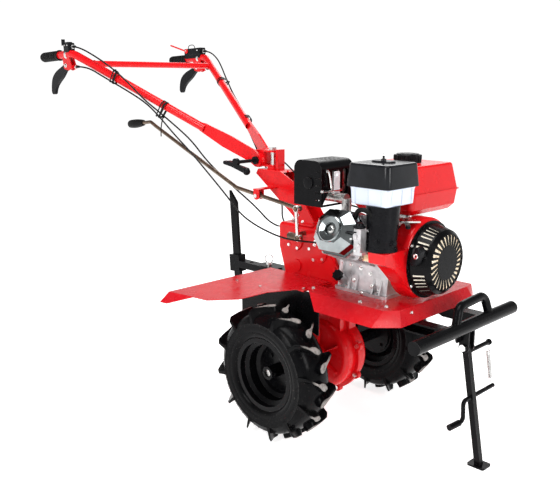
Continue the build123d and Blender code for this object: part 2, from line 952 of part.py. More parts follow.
def make_stand_spring():
    """Closely wound tension spring between the bracket's rod and the leg's rod."""
    top = Vector(*from_axle(490, spring_y, spring_top_z))
    foot = Vector(*from_axle(pedal_x, spring_y, spring_foot_z))
    run = (foot - top).normalized()
    length = (foot - top).length
    with BuildPart() as spring:
        add(round_bar(top + run * rod_radius, foot - run * rod_radius, 1.6))
        add(round_bar(top + run * 16, top + run * (length - 16), spring_radius))
    keep("stand_spring", spring.part)


def make_stand():
    keep("stand_leg", make_stand_leg())
    make_stand_pedal()
    make_stand_spring()
    outer = stand_ear_gap + plate
    seat = from_axle(stand_pivot_x, stand_y - outer, stand_pivot_z)
    body_bolts.append(hex_bolt(seat, (0, -1, 0), 2 * outer + 8, stand_pin_radius, 2 * outer))


# ---------------------------------------------------------------- hitch
clevis_gap = drawbar_thickness / 2 + bolt_clearance
sleeve_wall = 7.0
sleeve_low = 394.0
sleeve_high = 454.0
spare_hole_x = -372.0


def make_hitch_bracket():
    """Clevis on the back of the case; the drawbar swings between its plates."""
    with BuildPart() as bracket:
        for low in (hitch_z + clevis_gap, hitch_z - clevis_gap - clevis_plate):
            with BuildSketch(level_plane(low)):
                with Locations((-205, 0)):
                    Rectangle(170, 2 * clevis_half)
                with Locations((-290, 0)):
                    Circle(clevis_half)
            extrude(amount=clevis_plate)
        with BuildSketch(level_plane(hitch_z - clevis_gap)):
            with Locations((-180, 0)):
                Rectangle(120, 2 * clevis_half)
        extrude(amount=2 * clevis_gap)
        with BuildSketch(level_plane(hitch_z + clevis_gap + clevis_plate)):
            with Locations((-214, 16), (-214, -16)):
                RegularPolygon(bolt_head_radius, 6)
        extrude(amount=bolt_head_height)
        with BuildSketch(level_plane(hitch_z, hitch_pin_x)):
            Circle(hitch_pin_radius + running_clearance)
        extrude(amount=drawbar_thickness * 2, both=True, mode=Mode.SUBTRACT)
        with BuildSketch(side_plane(0)):
            with BuildLine():
                Polyline(*case_outline, close=True)
            make_face()
        extrude(amount=clevis_half + 1, both=True, mode=Mode.SUBTRACT)
        split(bisect_by=Plane.XY.offset(hitch_z + 40), keep=Keep.BOTTOM)
    return bracket.part


def drag_bar_plane(z):
    """Plane across the drag bar, which leans back a few degrees."""
    lean = radians(drag_bar_tilt)
    shift = -(z - hitch_z) * tan(lean)
    return Plane(from_axle(drag_bar_x + shift, 0, z), x_dir=(cos(lean), 0, sin(lean)), z_dir=(-sin(lean), 0, cos(lean)))


def make_drawbar():
    """Flat bar with an eye on the hitch pin and a sleeve for the drag bar."""
    hole = 2 * seat_clearance
    with BuildPart() as bar:
        with BuildSketch(level_plane(hitch_z - drawbar_thickness / 2)):
            with Locations((hitch_pin_x, 0)):
                Circle(drawbar_half)
            with Locations(((hitch_pin_x + drag_bar_x) / 2, 0)):
                Rectangle(hitch_pin_x - drag_bar_x, 2 * drawbar_half)
        extrude(amount=drawbar_thickness)
        with BuildSketch(drag_bar_plane(sleeve_low)):
            Rectangle(drag_bar_deep + 2 * sleeve_wall, drag_bar_wide + 2 * sleeve_wall + 8)
        extrude(amount=sleeve_high - sleeve_low)
        with BuildSketch(drag_bar_plane(sleeve_low - 10)):
            Rectangle(drag_bar_deep + hole, drag_bar_wide + hole)
        extrude(amount=sleeve_high - sleeve_low + 20, mode=Mode.SUBTRACT)
        with BuildSketch(level_plane(hitch_z)):
            with Locations((hitch_pin_x, 0), (spare_hole_x, 0)):
                Circle(hitch_pin_radius + running_clearance)
        extrude(amount=drawbar_thickness, both=True, mode=Mode.SUBTRACT)
    return bar.part


def make_drag_bar():
    """Upright drag bar with a bevelled top and a pointed foot."""
    length = drag_bar_top - drag_bar_foot
    foot = drag_bar_plane(drag_bar_foot)
    upright = Plane(foot.origin, x_dir=foot.x_dir, z_dir=(0, -1, 0))
    half = drag_bar_deep / 2
    with BuildPart() as bar:
        with BuildSketch(upright):
            with BuildLine():
                Polyline(
                    (-half + 10, 0),
                    (half, 26),
                    (half, length - 44),
                    (-half, length),
                    (-half, 0),
                    close=True,
                )
            make_face()
        extrude(amount=drag_bar_wide / 2, both=True)
        chamfer(bar.edges().filter_by(lambda edge: edge.length > 200), 1.5)
    return bar.part


def make_hitch_pin():
    """Hitch pin with a collar and a pull ring."""
    collar_z = hitch_z + clevis_gap + clevis_plate
    with BuildPart() as pin:
        with BuildSketch(level_plane(collar_z, hitch_pin_x)):
            Circle(hitch_pin_radius)
        extrude(amount=-2 * (clevis_gap + clevis_plate) - 4)
        with BuildSketch(level_plane(collar_z, hitch_pin_x)):
            Circle(hitch_pin_radius + 3)
        extrude(amount=8, taper=8)
        with Locations(Location(from_axle(hitch_pin_x, 0, collar_z + 21), (90, 35, 0))):
            Torus(14, 1.8)
    return pin.part


def make_hitch():
    keep("hitch_bracket", make_hitch_bracket())
    keep("drawbar", make_drawbar())
    keep("drag_bar", make_drag_bar())
    keep("hitch_pin", make_hitch_pin())


# ---------------------------------------------------------------- engine
crank_line = Axis(from_axle(0, 0, crank_z), (1, 0, 0))
tilt_rise = sin(radians(cylinder_tilt))
tilt_run = cos(radians(cylinder_tilt))


def cylinder_plane(distance):
    """Plane across the cylinder at a distance from the crankshaft: local x forward."""
    centre = from_axle(engine_x, -distance * tilt_run, crank_z + distance * tilt_rise)
    return Plane(centre, x_dir=(1, 0, 0), z_dir=(0, -tilt_run, tilt_rise))


def make_crankcase():
    """Crankcase with its foot, cover flange, ribs and the finned barrel."""
    foot_z = deck_z + sheet
    with BuildPart() as case:
        with BuildSketch(front_plane(case_rear_x, 0, crank_z)):
            with BuildLine():
                Polyline(
                    (-engine_base_half, foot_z - crank_z),
                    (engine_base_half, foot_z - crank_z),
                    (84, -40),
                    (84, 40),
                    (46, 86),
                    (-46, 86),
                    (-84, 50),
                    (-84, -40),
                    close=True,
                )
            make_face()
            fillet(vertices().group_by(Axis.Y)[-1], 12)
        extrude(amount=case_front_x - case_rear_x)
        with BuildSketch(front_plane(case_rear_x + 14, 0, crank_z)):
            Circle(90)
            with Locations((0, -60)):
                Rectangle(2 * engine_base_half + 4, 90)
        extrude(amount=8)
        with BuildSketch(level_plane(foot_z)):
            with Locations((195, 0)):
                RectangleRounded(190, 2 * engine_base_half + 26, 12)
        extrude(amount=engine_foot_height)
        with BuildSketch(front_plane(case_front_x, 0, crank_z)):
            Circle(40)
        extrude(amount=14, taper=6)
        with BuildSketch(cylinder_plane(40)):
            Rectangle(2 * barrel_half_x, 2 * barrel_half_high)
        extrude(amount=head_start - 40)
        for step in range(4):
            with BuildSketch(cylinder_plane(head_start - 8 - step * fin_pitch)):
                Rectangle(
                    2 * (barrel_half_x + fin_margin),
                    2 * (barrel_half_high + fin_margin),
                )
            extrude(amount=-fin_thickness)
        for x in (150.0, 176.0, 236.0, 262.0):
            with BuildSketch(front_plane(x, -88, foot_z)):
                with BuildLine():
                    Polyline((0, 2), (-17, 2), (7, 66), (18, 66), (18, 2), close=True)
                make_face()
            extrude(amount=6)
        with BuildSketch(front_plane(bell_front, 0, crank_z)):
            Circle(92)
        extrude(amount=case_rear_x - bell_front)
        with BuildSketch(front_plane(bell_front, 0, crank_z)):
            Circle(crank_radius + running_clearance)
        extrude(amount=case_front_x - bell_front + 20, mode=Mode.SUBTRACT)
        with BuildSketch(level_plane(foot_z)):
            with Locations(*engine_bolt_places()):
                Circle(bolt_radius + bolt_clearance)
        extrude(amount=engine_foot_height, mode=Mode.SUBTRACT)
        with BuildSketch(level_plane(foot_z + engine_foot_height)):
            with Locations(*engine_bolt_places()):
                Circle(bolt_head_radius + 3)
        extrude(amount=24, mode=Mode.SUBTRACT)
        with BuildSketch(oil_plug_plane()):
            Circle(13)
        extrude(amount=-26)
        with BuildSketch(oil_plug_plane()):
            Circle(oil_plug_radius + running_clearance)
        extrude(amount=-24, mode=Mode.SUBTRACT)
    return case.part


oil_plug_radius = 9.0


def oil_plug_plane():
    """Mouth of the oil filler, low on the right at the rear, facing out and up."""
    return Plane(from_axle(126, -112, 500), x_dir=(1, 0, 0), z_dir=(0, -0.8, 0.6))


def make_oil_plug():
    """Screw plug with a ribbed grip and a dipstick shank."""
    with BuildPart() as plug:
        with BuildSketch(oil_plug_plane()):
            Circle(14)
            with PolarLocations(14, 8):
                Circle(2.4)
        extrude(amount=13)
        with BuildSketch(oil_plug_plane()):
            Circle(oil_plug_radius)
        extrude(amount=-20)
    return plug.part


def make_cylinder_head():
    """Finned head between the barrel and the rocker cover."""
    depth = head_end - head_start
    with BuildPart() as head:
        with BuildSketch(cylinder_plane(head_start)):
            Rectangle(2 * barrel_half_x - 6, 2 * barrel_half_high - 4)
        extrude(amount=depth)
        for step in range(6):
            with BuildSketch(cylinder_plane(head_start + 4 + step * fin_pitch)):
                RectangleRounded(
                    2 * (barrel_half_x + fin_margin),
                    2 * (barrel_half_high + fin_margin),
                    8,
                )
            extrude(amount=fin_thickness)
        with BuildSketch(cylinder_plane(head_end - 8)):
            octagon(0)
        extrude(amount=8)
    return head.part


def head_space():
    """Space of the finned head and its cover, to cut from the parts beside it."""
    wide = barrel_half_x + fin_margin
    high = barrel_half_high + fin_margin
    with BuildPart() as space:
        with BuildSketch(cylinder_plane(head_start - 40)):
            Rectangle(2 * wide + bolt_clearance, 2 * high + bolt_clearance)
        extrude(amount=head_end - head_start + 40)
        with BuildSketch(cylinder_plane(head_end - 8)):
            Rectangle(2 * head_cover_half_x + bolt_clearance, 2 * high + bolt_clearance)
        extrude(amount=head_cover_end - head_end + 14)
    return space.part


def octagon(inset):
    """Eight-sided outline of the rocker cover, drawn in the open sketch."""
    long = head_cover_half_x - inset
    high = head_cover_half_high - inset
    cut = (head_cover_half_high - inset) * 0.52
    Polygon(
        (-long + cut, -high),
        (long - cut, -high),
        (long, -high + cut),
        (long, high - cut),
        (long - cut, high),
        (-long + cut, high),
        (-long, high - cut),
        (-long, -high + cut),
        align=None,
    )


def make_head_cover():
    """Pressed rocker cover: flange, bevelled sides and a round dish for the bolt."""
    shoulder = head_cover_end - 20
    with BuildPart() as cover:
        with BuildSketch(cylinder_plane(head_end)):
            octagon(0)
        extrude(amount=3)
        with BuildSketch(cylinder_plane(head_end + 3)):
            octagon(4)
        with BuildSketch(cylinder_plane(shoulder)):
            octagon(6)
        loft()
        with BuildSketch(cylinder_plane(shoulder)):
            octagon(6)
        with BuildSketch(cylinder_plane(head_cover_end)):
            octagon(29)
        loft()
        with BuildSketch(cylinder_plane(head_cover_end)):
            Circle(17)
        extrude(amount=-6, taper=-30, mode=Mode.SUBTRACT)
        with BuildSketch(cylinder_plane(head_cover_end - 6)):
            RegularPolygon(7, 6)
        extrude(amount=9)
    return cover.part


shroud_wing = [
    (64, -130),
    (-8, -130),
    (-90, -69),
    (-165, 1),
    (-204, 16),
    (-208, 45),
    (-100, 45),
    (-60, 90),
    (64, 90),
]


def shroud_body(inset):
    """Fan drum with its wing towards the cylinder, pulled in by a wall."""
    depth = shroud_front - shroud_rear - inset
    with BuildPart() as body:
        with BuildSketch(front_plane(shroud_rear, 0, crank_z)):
            Circle(shroud_radius - inset)
        extrude(amount=depth)
        fillet(body.faces().sort_by(Axis.X)[-1].edges(), 16 - inset)
        with BuildSketch(front_plane(shroud_rear, 0, crank_z)):
            with BuildLine():
                Polyline(*shroud_wing, close=True)
            make_face()
            offset(amount=-inset, kind=Kind.INTERSECTION)
        extrude(amount=depth)
    return body.part


def make_shroud():
    """Fan housing, open behind, with a round mouth for the starter cover."""
    outer = shroud_body(0)
    inner = shroud_body(sheet)
    foot = deck_z + sheet + engine_foot_height + 2
    with BuildPart() as shroud:
        add(outer)
        add(inner, mode=Mode.SUBTRACT)
        with BuildSketch(front_plane(shroud_front, 0, crank_z)):
            Circle(shroud_mouth)
        extrude(amount=-10, mode=Mode.SUBTRACT)
        split(bisect_by=Plane.XY.offset(foot), keep=Keep.TOP)
    return shroud.part


def starter_profile(inset):
    """Half outline of the starter cover in the open sketch, pulled in by a wall."""
    return [
        (shroud_front, 0),
        (shroud_front, starter_base_radius - inset),
        (shroud_front + 8, starter_base_radius - inset),
        (starter_front - 12, starter_face_radius + 3 - inset),
        (starter_front - 3 - inset, starter_face_radius - 6 - inset),
        (starter_front - inset, starter_face_radius - 12 - inset),
        (starter_front - inset, 0),
    ]


def make_starter_cover():
    """Recoil starter cover: a dome with a ring of slots and slotted flanks."""
    half = (slot_outer - slot_inner) / 2
    narrow = slot_width / 2
    wide = 1.8 * narrow
    flank = (starter_front - 12 - shroud_front - 8) / 2
    middle = Vector(*from_axle(shroud_front + 8 + flank, 0, crank_z))
    slots = []
    for turn in (28, 62, 118, 152, 208, 242, 298, 332):
        for step in (-1.5, -0.5, 0.5, 1.5):
            angle = radians(turn + step * 7.5)
            out = Vector(0, cos(angle), sin(angle))
            slot_plane = Plane(middle + out * (starter_face_radius - 14), x_dir=(1, 0, 0), z_dir=out)
            with BuildPart() as slot:
                with BuildSketch(slot_plane):
                    Rectangle(2 * flank - 8, slot_width + 1)
                extrude(amount=40)
            slots.append(slot.part)
    with BuildPart() as cover:
        with BuildSketch(side_plane(0, 0, crank_z)):
            with BuildLine():
                Polyline(*starter_profile(0), close=True)
            make_face()
        revolve(axis=crank_line)
        with BuildSketch(side_plane(0, 0, crank_z)):
            with BuildLine():
                Polyline(*starter_profile(starter_wall), close=True)
            make_face()
        revolve(axis=crank_line, mode=Mode.SUBTRACT)
        with BuildSketch(front_plane(shroud_front, 0, crank_z)):
            Circle(starter_base_radius + 7)
            Circle(starter_base_radius - 1, mode=Mode.SUBTRACT)
        extrude(amount=3)
        with BuildSketch(front_plane(starter_front, 0, crank_z)):
            with PolarLocations(0, slot_count):
                with Locations(Location(((slot_inner + slot_outer) / 2, 0, 0), (0, 0, 14))):
                    Polygon((-half, -narrow), (half, -wide), (half, wide), (-half, narrow), align=None)
        extrude(amount=-9, mode=Mode.SUBTRACT)
        add(slots, mode=Mode.SUBTRACT)
        with BuildSketch(handle_plane(-26)):
            Circle(13)
        extrude(amount=22, taper=5)
        with BuildSketch(handle_plane(-40)):
            Circle(4.5)
        extrude(amount=60, mode=Mode.SUBTRACT)
    return cover.part


def handle_plane(distance):
    """Plane across the starter rope's way out, low on the right of the cover."""
    return Plane(from_axle(396, -104 - distance, 604), x_dir=(1, 0, 0), z_dir=(0, -1, 0))


def make_recoil_handle():
    """Pull handle of the starter with the knot end of its rope."""
    with BuildPart() as handle:
        with BuildSketch(handle_plane(-3)):
            SlotOverall(58, 24, rotation=70)
        extrude(amount=20, taper=6)
        fillet(handle.faces().sort_by(Axis.Y)[0].edges(), 5)
        with BuildSketch(handle_plane(-3)):
            Circle(3.5)
        extrude(amount=-26)
    return handle.part


def make_fan():
    """Crankshaft with the flywheel, its fan blades and the starter cup."""
    disc_x = shroud_rear + 30
    with BuildPart() as fan:
        with BuildSketch(front_plane(bell_front - 25, 0, crank_z)):
            Circle(crank_radius)
        extrude(amount=disc_x - bell_front + 25)
        with BuildSketch(front_plane(disc_x, 0, crank_z)):
            Circle(fan_radius)
        extrude(amount=10)
        with BuildSketch(front_plane(disc_x + 10, 0, crank_z)):
            with PolarLocations(0, blade_count):
                with Locations(Location((fan_radius - 24, 0, 0), (0, 0, 24))):
                    Rectangle(34, 3.5)
        extrude(amount=blade_depth)
        with BuildSketch(front_plane(disc_x + 10 + blade_depth - 4, 0, crank_z)):
            Circle(fan_radius - 7)
            Circle(40, mode=Mode.SUBTRACT)
        extrude(amount=3)
        with BuildSketch(front_plane(disc_x + 10, 0, crank_z)):
            Circle(36)
        extrude(amount=44)
        with BuildSketch(front_plane(disc_x + 20, 0, crank_z)):
            Circle(31)
        extrude(amount=44, mode=Mode.SUBTRACT)
        with BuildSketch(front_plane(disc_x + 10, 0, crank_z)):
            RegularPolygon(13, 6)
        extrude(amount=22)
    return fan.part


def tank_outline(inset):
    """Plan of the fuel tank in the open sketch, pulled in by an inset."""
    RectangleRounded(tank_length - 2 * inset, tank_width - 2 * inset, 18 - inset / 3)


def make_tank():
    """Fuel tank: two pressings meeting in a rolled seam, with a filler neck."""
    with BuildPart() as tank:
        with BuildSketch(level_plane(tank_floor_z, tank_x, tank_y)):
            tank_outline(22)
        with BuildSketch(level_plane(tank_floor_z + tank_foot, tank_x, tank_y)):
            tank_outline(9)
        loft()
        with BuildSketch(level_plane(tank_floor_z + tank_foot, tank_x, tank_y)):
            tank_outline(9)
        with BuildSketch(level_plane(tank_seam_z, tank_x, tank_y)):
            tank_outline(4)
        loft()
        with BuildSketch(level_plane(tank_seam_z, tank_x, tank_y)):
            tank_outline(4)
        with BuildSketch(level_plane(tank_top_z, tank_x, tank_y)):
            tank_outline(19)
        loft()
        fillet(tank.faces().sort_by(Axis.Z)[-1].edges(), 9)
        with BuildSketch(level_plane(tank_seam_z - 1.5, tank_x, tank_y)):
            tank_outline(0)
        extrude(amount=3)
        with BuildSketch(level_plane(tank_top_z - 2, cap_x, cap_y)):
            Circle(cap_radius + 3)
        extrude(amount=4, taper=20)
        with BuildSketch(level_plane(tank_top_z, cap_x, cap_y)):
            Circle(neck_radius)
        extrude(amount=14)
        with BuildSketch(level_plane(tank_top_z + 14, cap_x, cap_y)):
            Circle(neck_radius - 3)
        extrude(amount=-34, mode=Mode.SUBTRACT)
    return tank.part


def make_fuel_cap():
    """Quarter-turn fuel cap with a ribbed rim, open underneath over the neck."""
    base = tank_top_z + 3
    with BuildPart() as cap:
        with BuildSketch(level_plane(base, cap_x, cap_y)):
            Circle(cap_radius)
            with PolarLocations(cap_radius, 24):
                Circle(2.2)
        extrude(amount=cap_height)
        with BuildSketch(level_plane(base + cap_height, cap_x, cap_y)):
            Circle(cap_radius - 4)
        extrude(amount=3, taper=35)
        with BuildSketch(level_plane(base, cap_x, cap_y)):
            Circle(neck_radius + bolt_clearance)
        extrude(amount=18, mode=Mode.SUBTRACT)
    return cap.part


def make_control_bracket():
    """Bracket under the tank: legs from the fan housing and the lever quadrant."""
    low = crank_z + shroud_radius
    with BuildPart() as bracket:
        with BuildSketch(level_plane(tank_floor_z - 4, tank_x + 6, tank_y - 8)):
            RectangleRounded(tank_length - 60, tank_width - 60, 14)
            with Locations((-10, 0)):
                Rectangle(90, 110, mode=Mode.SUBTRACT)
        extrude(amount=4)
        for x, y, foot_x in ((296, 34, 300), (296, -18, 300)):
            with BuildSketch(front_plane(foot_x, y)):
                with Locations((0, (low - 10 + tank_floor_z) / 2 - 2)):
                    Rectangle(22, tank_floor_z - low + 6)
            extrude(amount=4)
        with BuildSketch(front_plane(gland_x, gland_y, gland_z)):
            Rectangle(14, 12)
        extrude(amount=tank_x + 6 - tank_length / 2 + 30 - gland_x + 4)
        with BuildSketch(level_plane(tank_floor_z - 8, lever_x, lever_y)):
            with BuildLine():
                Polyline((-50, -14), (4, -26), (40, 10), (30, 24), (-22, 24), (-22, 52), (-50, 52), close=True)
            make_face()
            Circle(lever_pin_radius + bolt_clearance, mode=Mode.SUBTRACT)
        extrude(amount=4)
        with BuildSketch(front_plane(shroud_rear - bolt_clearance, 0, crank_z)):
            Circle(shroud_radius + bolt_clearance)
        extrude(amount=shroud_front - shroud_rear + 2, mode=Mode.SUBTRACT)
    return bracket.part


def make_engine_lever():
    """Speed lever on the quadrant under the tank."""
    reach = lever_length * Vector(cos(radians(-50)), sin(radians(-50)))
    with BuildPart() as lever:
        with BuildSketch(level_plane(tank_floor_z - 11.5, lever_x, lever_y)):
            SlotCenterPoint((reach.X / 2, reach.Y / 2), (reach.X, reach.Y), 12)
            Circle(10)
        extrude(amount=3)
        with BuildSketch(level_plane(tank_floor_z - 11.5, lever_x, lever_y)):
            Circle(lever_pin_radius)
        extrude(amount=9)
        with BuildSketch(level_plane(tank_floor_z - 17, lever_x, lever_y)):
            with Locations((reach.X, reach.Y)):
                SlotOverall(26, 13, rotation=-50)
        extrude(amount=8)
    return lever.part


def air_outline(inset):
    """Plan of the air cleaner with its cut corner, in the open sketch."""
    long = air_length / 2 - inset
    wide = air_width / 2 - inset
    Polygon(
        (-long, -wide + 5),
        (-long + 5, -wide),
        (long - 8, -wide),
        (long, -wide + 8),
        (long, wide - 6),
        (long - 6, wide),
        (-long + 6, wide),
        (-long, wide - 6),
        align=None,
    )


def make_air_bowl():
    """Lower half of the air cleaner, tapering to the duct."""
    with BuildPart() as bowl:
        with BuildSketch(level_plane(air_floor_z, air_x, air_y)):
            air_outline(10)
        with BuildSketch(level_plane(air_split_z, air_x, air_y)):
            air_outline(8)
        loft()
        with BuildSketch(level_plane(air_floor_z + air_wall, air_x, air_y)):
            air_outline(10 + air_wall)
        with BuildSketch(level_plane(air_split_z, air_x, air_y)):
            air_outline(8 + air_wall)
        loft(mode=Mode.SUBTRACT)
        with BuildSketch(level_plane(air_floor_z, air_x, air_y)):
            Circle(24)
        extrude(amount=air_wall, mode=Mode.SUBTRACT)
    return bowl.part


def make_air_lid():
    """Upper half of the air cleaner: a deep lid held by one wing nut."""
    with BuildPart() as lid:
        with BuildSketch(level_plane(air_split_z, air_x, air_y)):
            air_outline(0)
        with BuildSketch(level_plane(air_top_z, air_x, air_y)):
            air_outline(5)
        loft()
        fillet(lid.faces().sort_by(Axis.Z)[-1].edges(), 4)
        with BuildSketch(level_plane(air_split_z, air_x, air_y)):
            air_outline(air_wall)
        with BuildSketch(level_plane(air_top_z - air_wall, air_x, air_y)):
            air_outline(air_wall + 5)
        loft(mode=Mode.SUBTRACT)
        with BuildSketch(level_plane(air_top_z, air_x, air_y)):
            SlotOverall(70, 34)
        extrude(amount=5, taper=12)
        with BuildSketch(level_plane(air_top_z + 5, air_x, air_y)):
            Circle(7)
        extrude(amount=4)
        with BuildSketch(level_plane(air_top_z + 9, air_x, air_y)):
            Circle(3)
        extrude(amount=8)
    return lid.part


duct_radius = 45.0
duct_low = crank_z + 46
duct_x = 318.0
duct_y = -164.0
carburettor_x = 284.0
carburettor_y = -172.0


def duct_bolt_planes():
    """Where the duct's two bolt bosses stand on its drum, facing out."""
    planes = []
    for turn in (-72, -12):
        out = Vector(cos(radians(turn)), sin(radians(turn)), 0)
        seat = Vector(*from_axle(duct_x, duct_y, duct_low + 26)) + out * (duct_radius - 8)
        planes.append(Plane(seat, z_dir=out))
    return planes


def make_duct():
    """Intake elbow: a drum under the air cleaner, flared at its bolted foot."""
    space = head_space()
    with BuildPart() as duct:
        with BuildSketch(level_plane(air_floor_z, duct_x - 8, duct_y + 12)):
            Circle(duct_radius + 1)
        with BuildSketch(level_plane(duct_low + 30, duct_x, duct_y)):
            Circle(duct_radius - 4)
        loft()
        with BuildSketch(level_plane(duct_low + 10, duct_x, duct_y)):
            Circle(duct_radius - 4)
        extrude(amount=20)
        with BuildSketch(level_plane(duct_low, duct_x, duct_y)):
            Circle(duct_radius - 1)
        extrude(amount=10, taper=8)
        with BuildSketch(level_plane(air_floor_z, air_x, air_y)):
            Circle(24)
        extrude(amount=-20, mode=Mode.SUBTRACT)
        for boss in duct_bolt_planes():
            with BuildSketch(boss):
                Circle(9)
            extrude(amount=10)
            with BuildSketch(boss.offset(10)):
                RegularPolygon(6.5, 6)
            extrude(amount=5)
        with BuildSketch(front_plane(shroud_rear - 4, 0, crank_z)):
            Circle(shroud_radius + 1)
        extrude(amount=shroud_front - shroud_rear + 40, mode=Mode.SUBTRACT)
        add(space, mode=Mode.SUBTRACT)
    return duct.part


def make_carburettor():
    """Carburettor beside the head: body, flange, float bowl and drain screw."""
    floor = duct_low - 9
    top = duct_low + 62
    space = head_space()
    with BuildPart() as body:
        with BuildSketch(level_plane(floor, carburettor_x - 1, carburettor_y - 22)):
            RectangleRounded(36, 74, 6)
        extrude(amount=8)
        with BuildSketch(level_plane(floor, carburettor_x - 3, carburettor_y - 44)):
            RectangleRounded(32, 34, 5)
        extrude(amount=top - floor)
        with BuildSketch(front_plane(carburettor_x + 10, carburettor_y - 46, duct_low + 30)):
            Circle(15)
        extrude(amount=-48)
        with BuildSketch(level_plane(floor, carburettor_x, carburettor_y)):
            Circle(21)
        extrude(amount=-24, taper=4)
        with BuildSketch(level_plane(floor - 24, carburettor_x, carburettor_y)):
            RegularPolygon(5, 6)
        extrude(amount=-5)
        with BuildSketch(level_plane(top, carburettor_x - 3, carburettor_y - 44)):
            Circle(9)
        extrude(amount=9)
        with BuildSketch(side_plane(carburettor_y - 60, carburettor_x - 3, duct_low + 40)):
            Circle(8)
        extrude(amount=5)
        add(space, mode=Mode.SUBTRACT)
        with BuildSketch(level_plane(duct_low, duct_x, duct_y)):
            Circle(duct_radius + 1 + bolt_clearance)
        extrude(amount=air_floor_z - duct_low, mode=Mode.SUBTRACT)
        for boss in duct_bolt_planes():
            with BuildSketch(boss):
                Circle(9 + bolt_clearance)
            extrude(amount=20, mode=Mode.SUBTRACT)
    return body.part


def make_muffler():
    """Muffler canister with its outlet and the pipe down to the head."""
    middle_z = (muffler_floor_z + muffler_top_z) / 2
    space = head_space()
    with BuildPart() as muffler:
        with BuildSketch(side_plane(muffler_y - 50, muffler_x, middle_z)):
            RectangleRounded(muffler_length - 20, muffler_top_z - muffler_floor_z - 30, 28)
        extrude(amount=-100)
        with BuildSketch(front_plane(muffler_x, muffler_y - 9, 736)):
            Circle(14)
        extrude(amount=96)
        with BuildSketch(level_plane(736, muffler_x + 96, muffler_y - 9)):
            Circle(14)
        extrude(amount=-70)
        add(space, mode=Mode.SUBTRACT)
    return muffler.part


def make_muffler_guard():
    """Sheet guard over the muffler: rounded top, rows of holes, open flank."""
    long = muffler_length / 2
    tall = muffler_top_z - muffler_floor_z
    near = muffler_y - muffler_width / 2
    with BuildPart() as guard:
        for inset, mode in ((0, Mode.ADD), (sheet, Mode.SUBTRACT)):
            with BuildSketch(side_plane(near + inset, muffler_x, muffler_floor_z - inset)):
                with Locations((0, tall / 2)):
                    Rectangle(muffler_length - 2 * inset, tall)
                fillet(vertices().group_by(Axis.Y)[-1], 26 - inset)
            extrude(amount=2 * inset - muffler_width, mode=mode)
        with BuildSketch(side_plane(near - 1, muffler_x, muffler_floor_z)):
            with Locations((38, 60)):
                with GridLocations(11, 20, 2, 5):
                    Circle(2.4)
            with Locations((5, 66)):
                Ellipse(12, 17)
        extrude(amount=-sheet - 2, mode=Mode.SUBTRACT)
        with BuildSketch(front_plane(muffler_x + long + 1, muffler_y, muffler_floor_z)):
            with BuildLine():
                Polyline((-62, 6), (-34, 46), (-22, 46), (-22, 102), (8, 102), (8, 6), close=True)
            make_face()
            with Locations((36, 62)):
                RectangleRounded(26, 84, 6)
        extrude(amount=-sheet - 2, mode=Mode.SUBTRACT)
        with BuildSketch(level_plane(muffler_top_z + 1, muffler_x, muffler_y)):
            with Locations((2, 4)):
                with GridLocations(17, 18, 4, 4):
                    SlotOverall(12, 5)
        extrude(amount=-sheet - 2, mode=Mode.SUBTRACT)
    return guard.part


def make_engine():
    keep("crankcase", make_crankcase())
    keep("oil_plug", make_oil_plug())
    keep("cylinder_head", make_cylinder_head())
    keep("head_cover", make_head_cover())
    keep("shroud", make_shroud())
    keep("starter_cover", make_starter_cover())
    keep("starter_handle", make_recoil_handle())
    keep("flywheel_fan", make_fan())
    keep("fuel_tank", make_tank())
    keep("fuel_cap", make_fuel_cap())
    keep("control_bracket", make_control_bracket())
    keep("speed_lever", make_engine_lever())
    keep("air_bowl", make_air_bowl())
    keep("air_lid", make_air_lid())
    keep("intake_duct", make_duct())
    keep("carburettor", make_carburettor())
    keep("muffler", make_muffler())
    keep("muffler_guard", make_muffler_guard())
    for x, y in engine_bolt_places():
        seat = from_axle(x, y, deck_z + sheet + engine_foot_height)
        grip = engine_foot_height + sheet + rail_wall
        body_bolts.append(hex_bolt(seat, (0, 0, 1), grip + 12, nut_at=grip))


# ---------------------------------------------------------------- column
swing_boss_radius = 20.0
head_clearance = 0.3
guide_half = 13.0
guide_plate = 4.0
guide_rise = 18.0


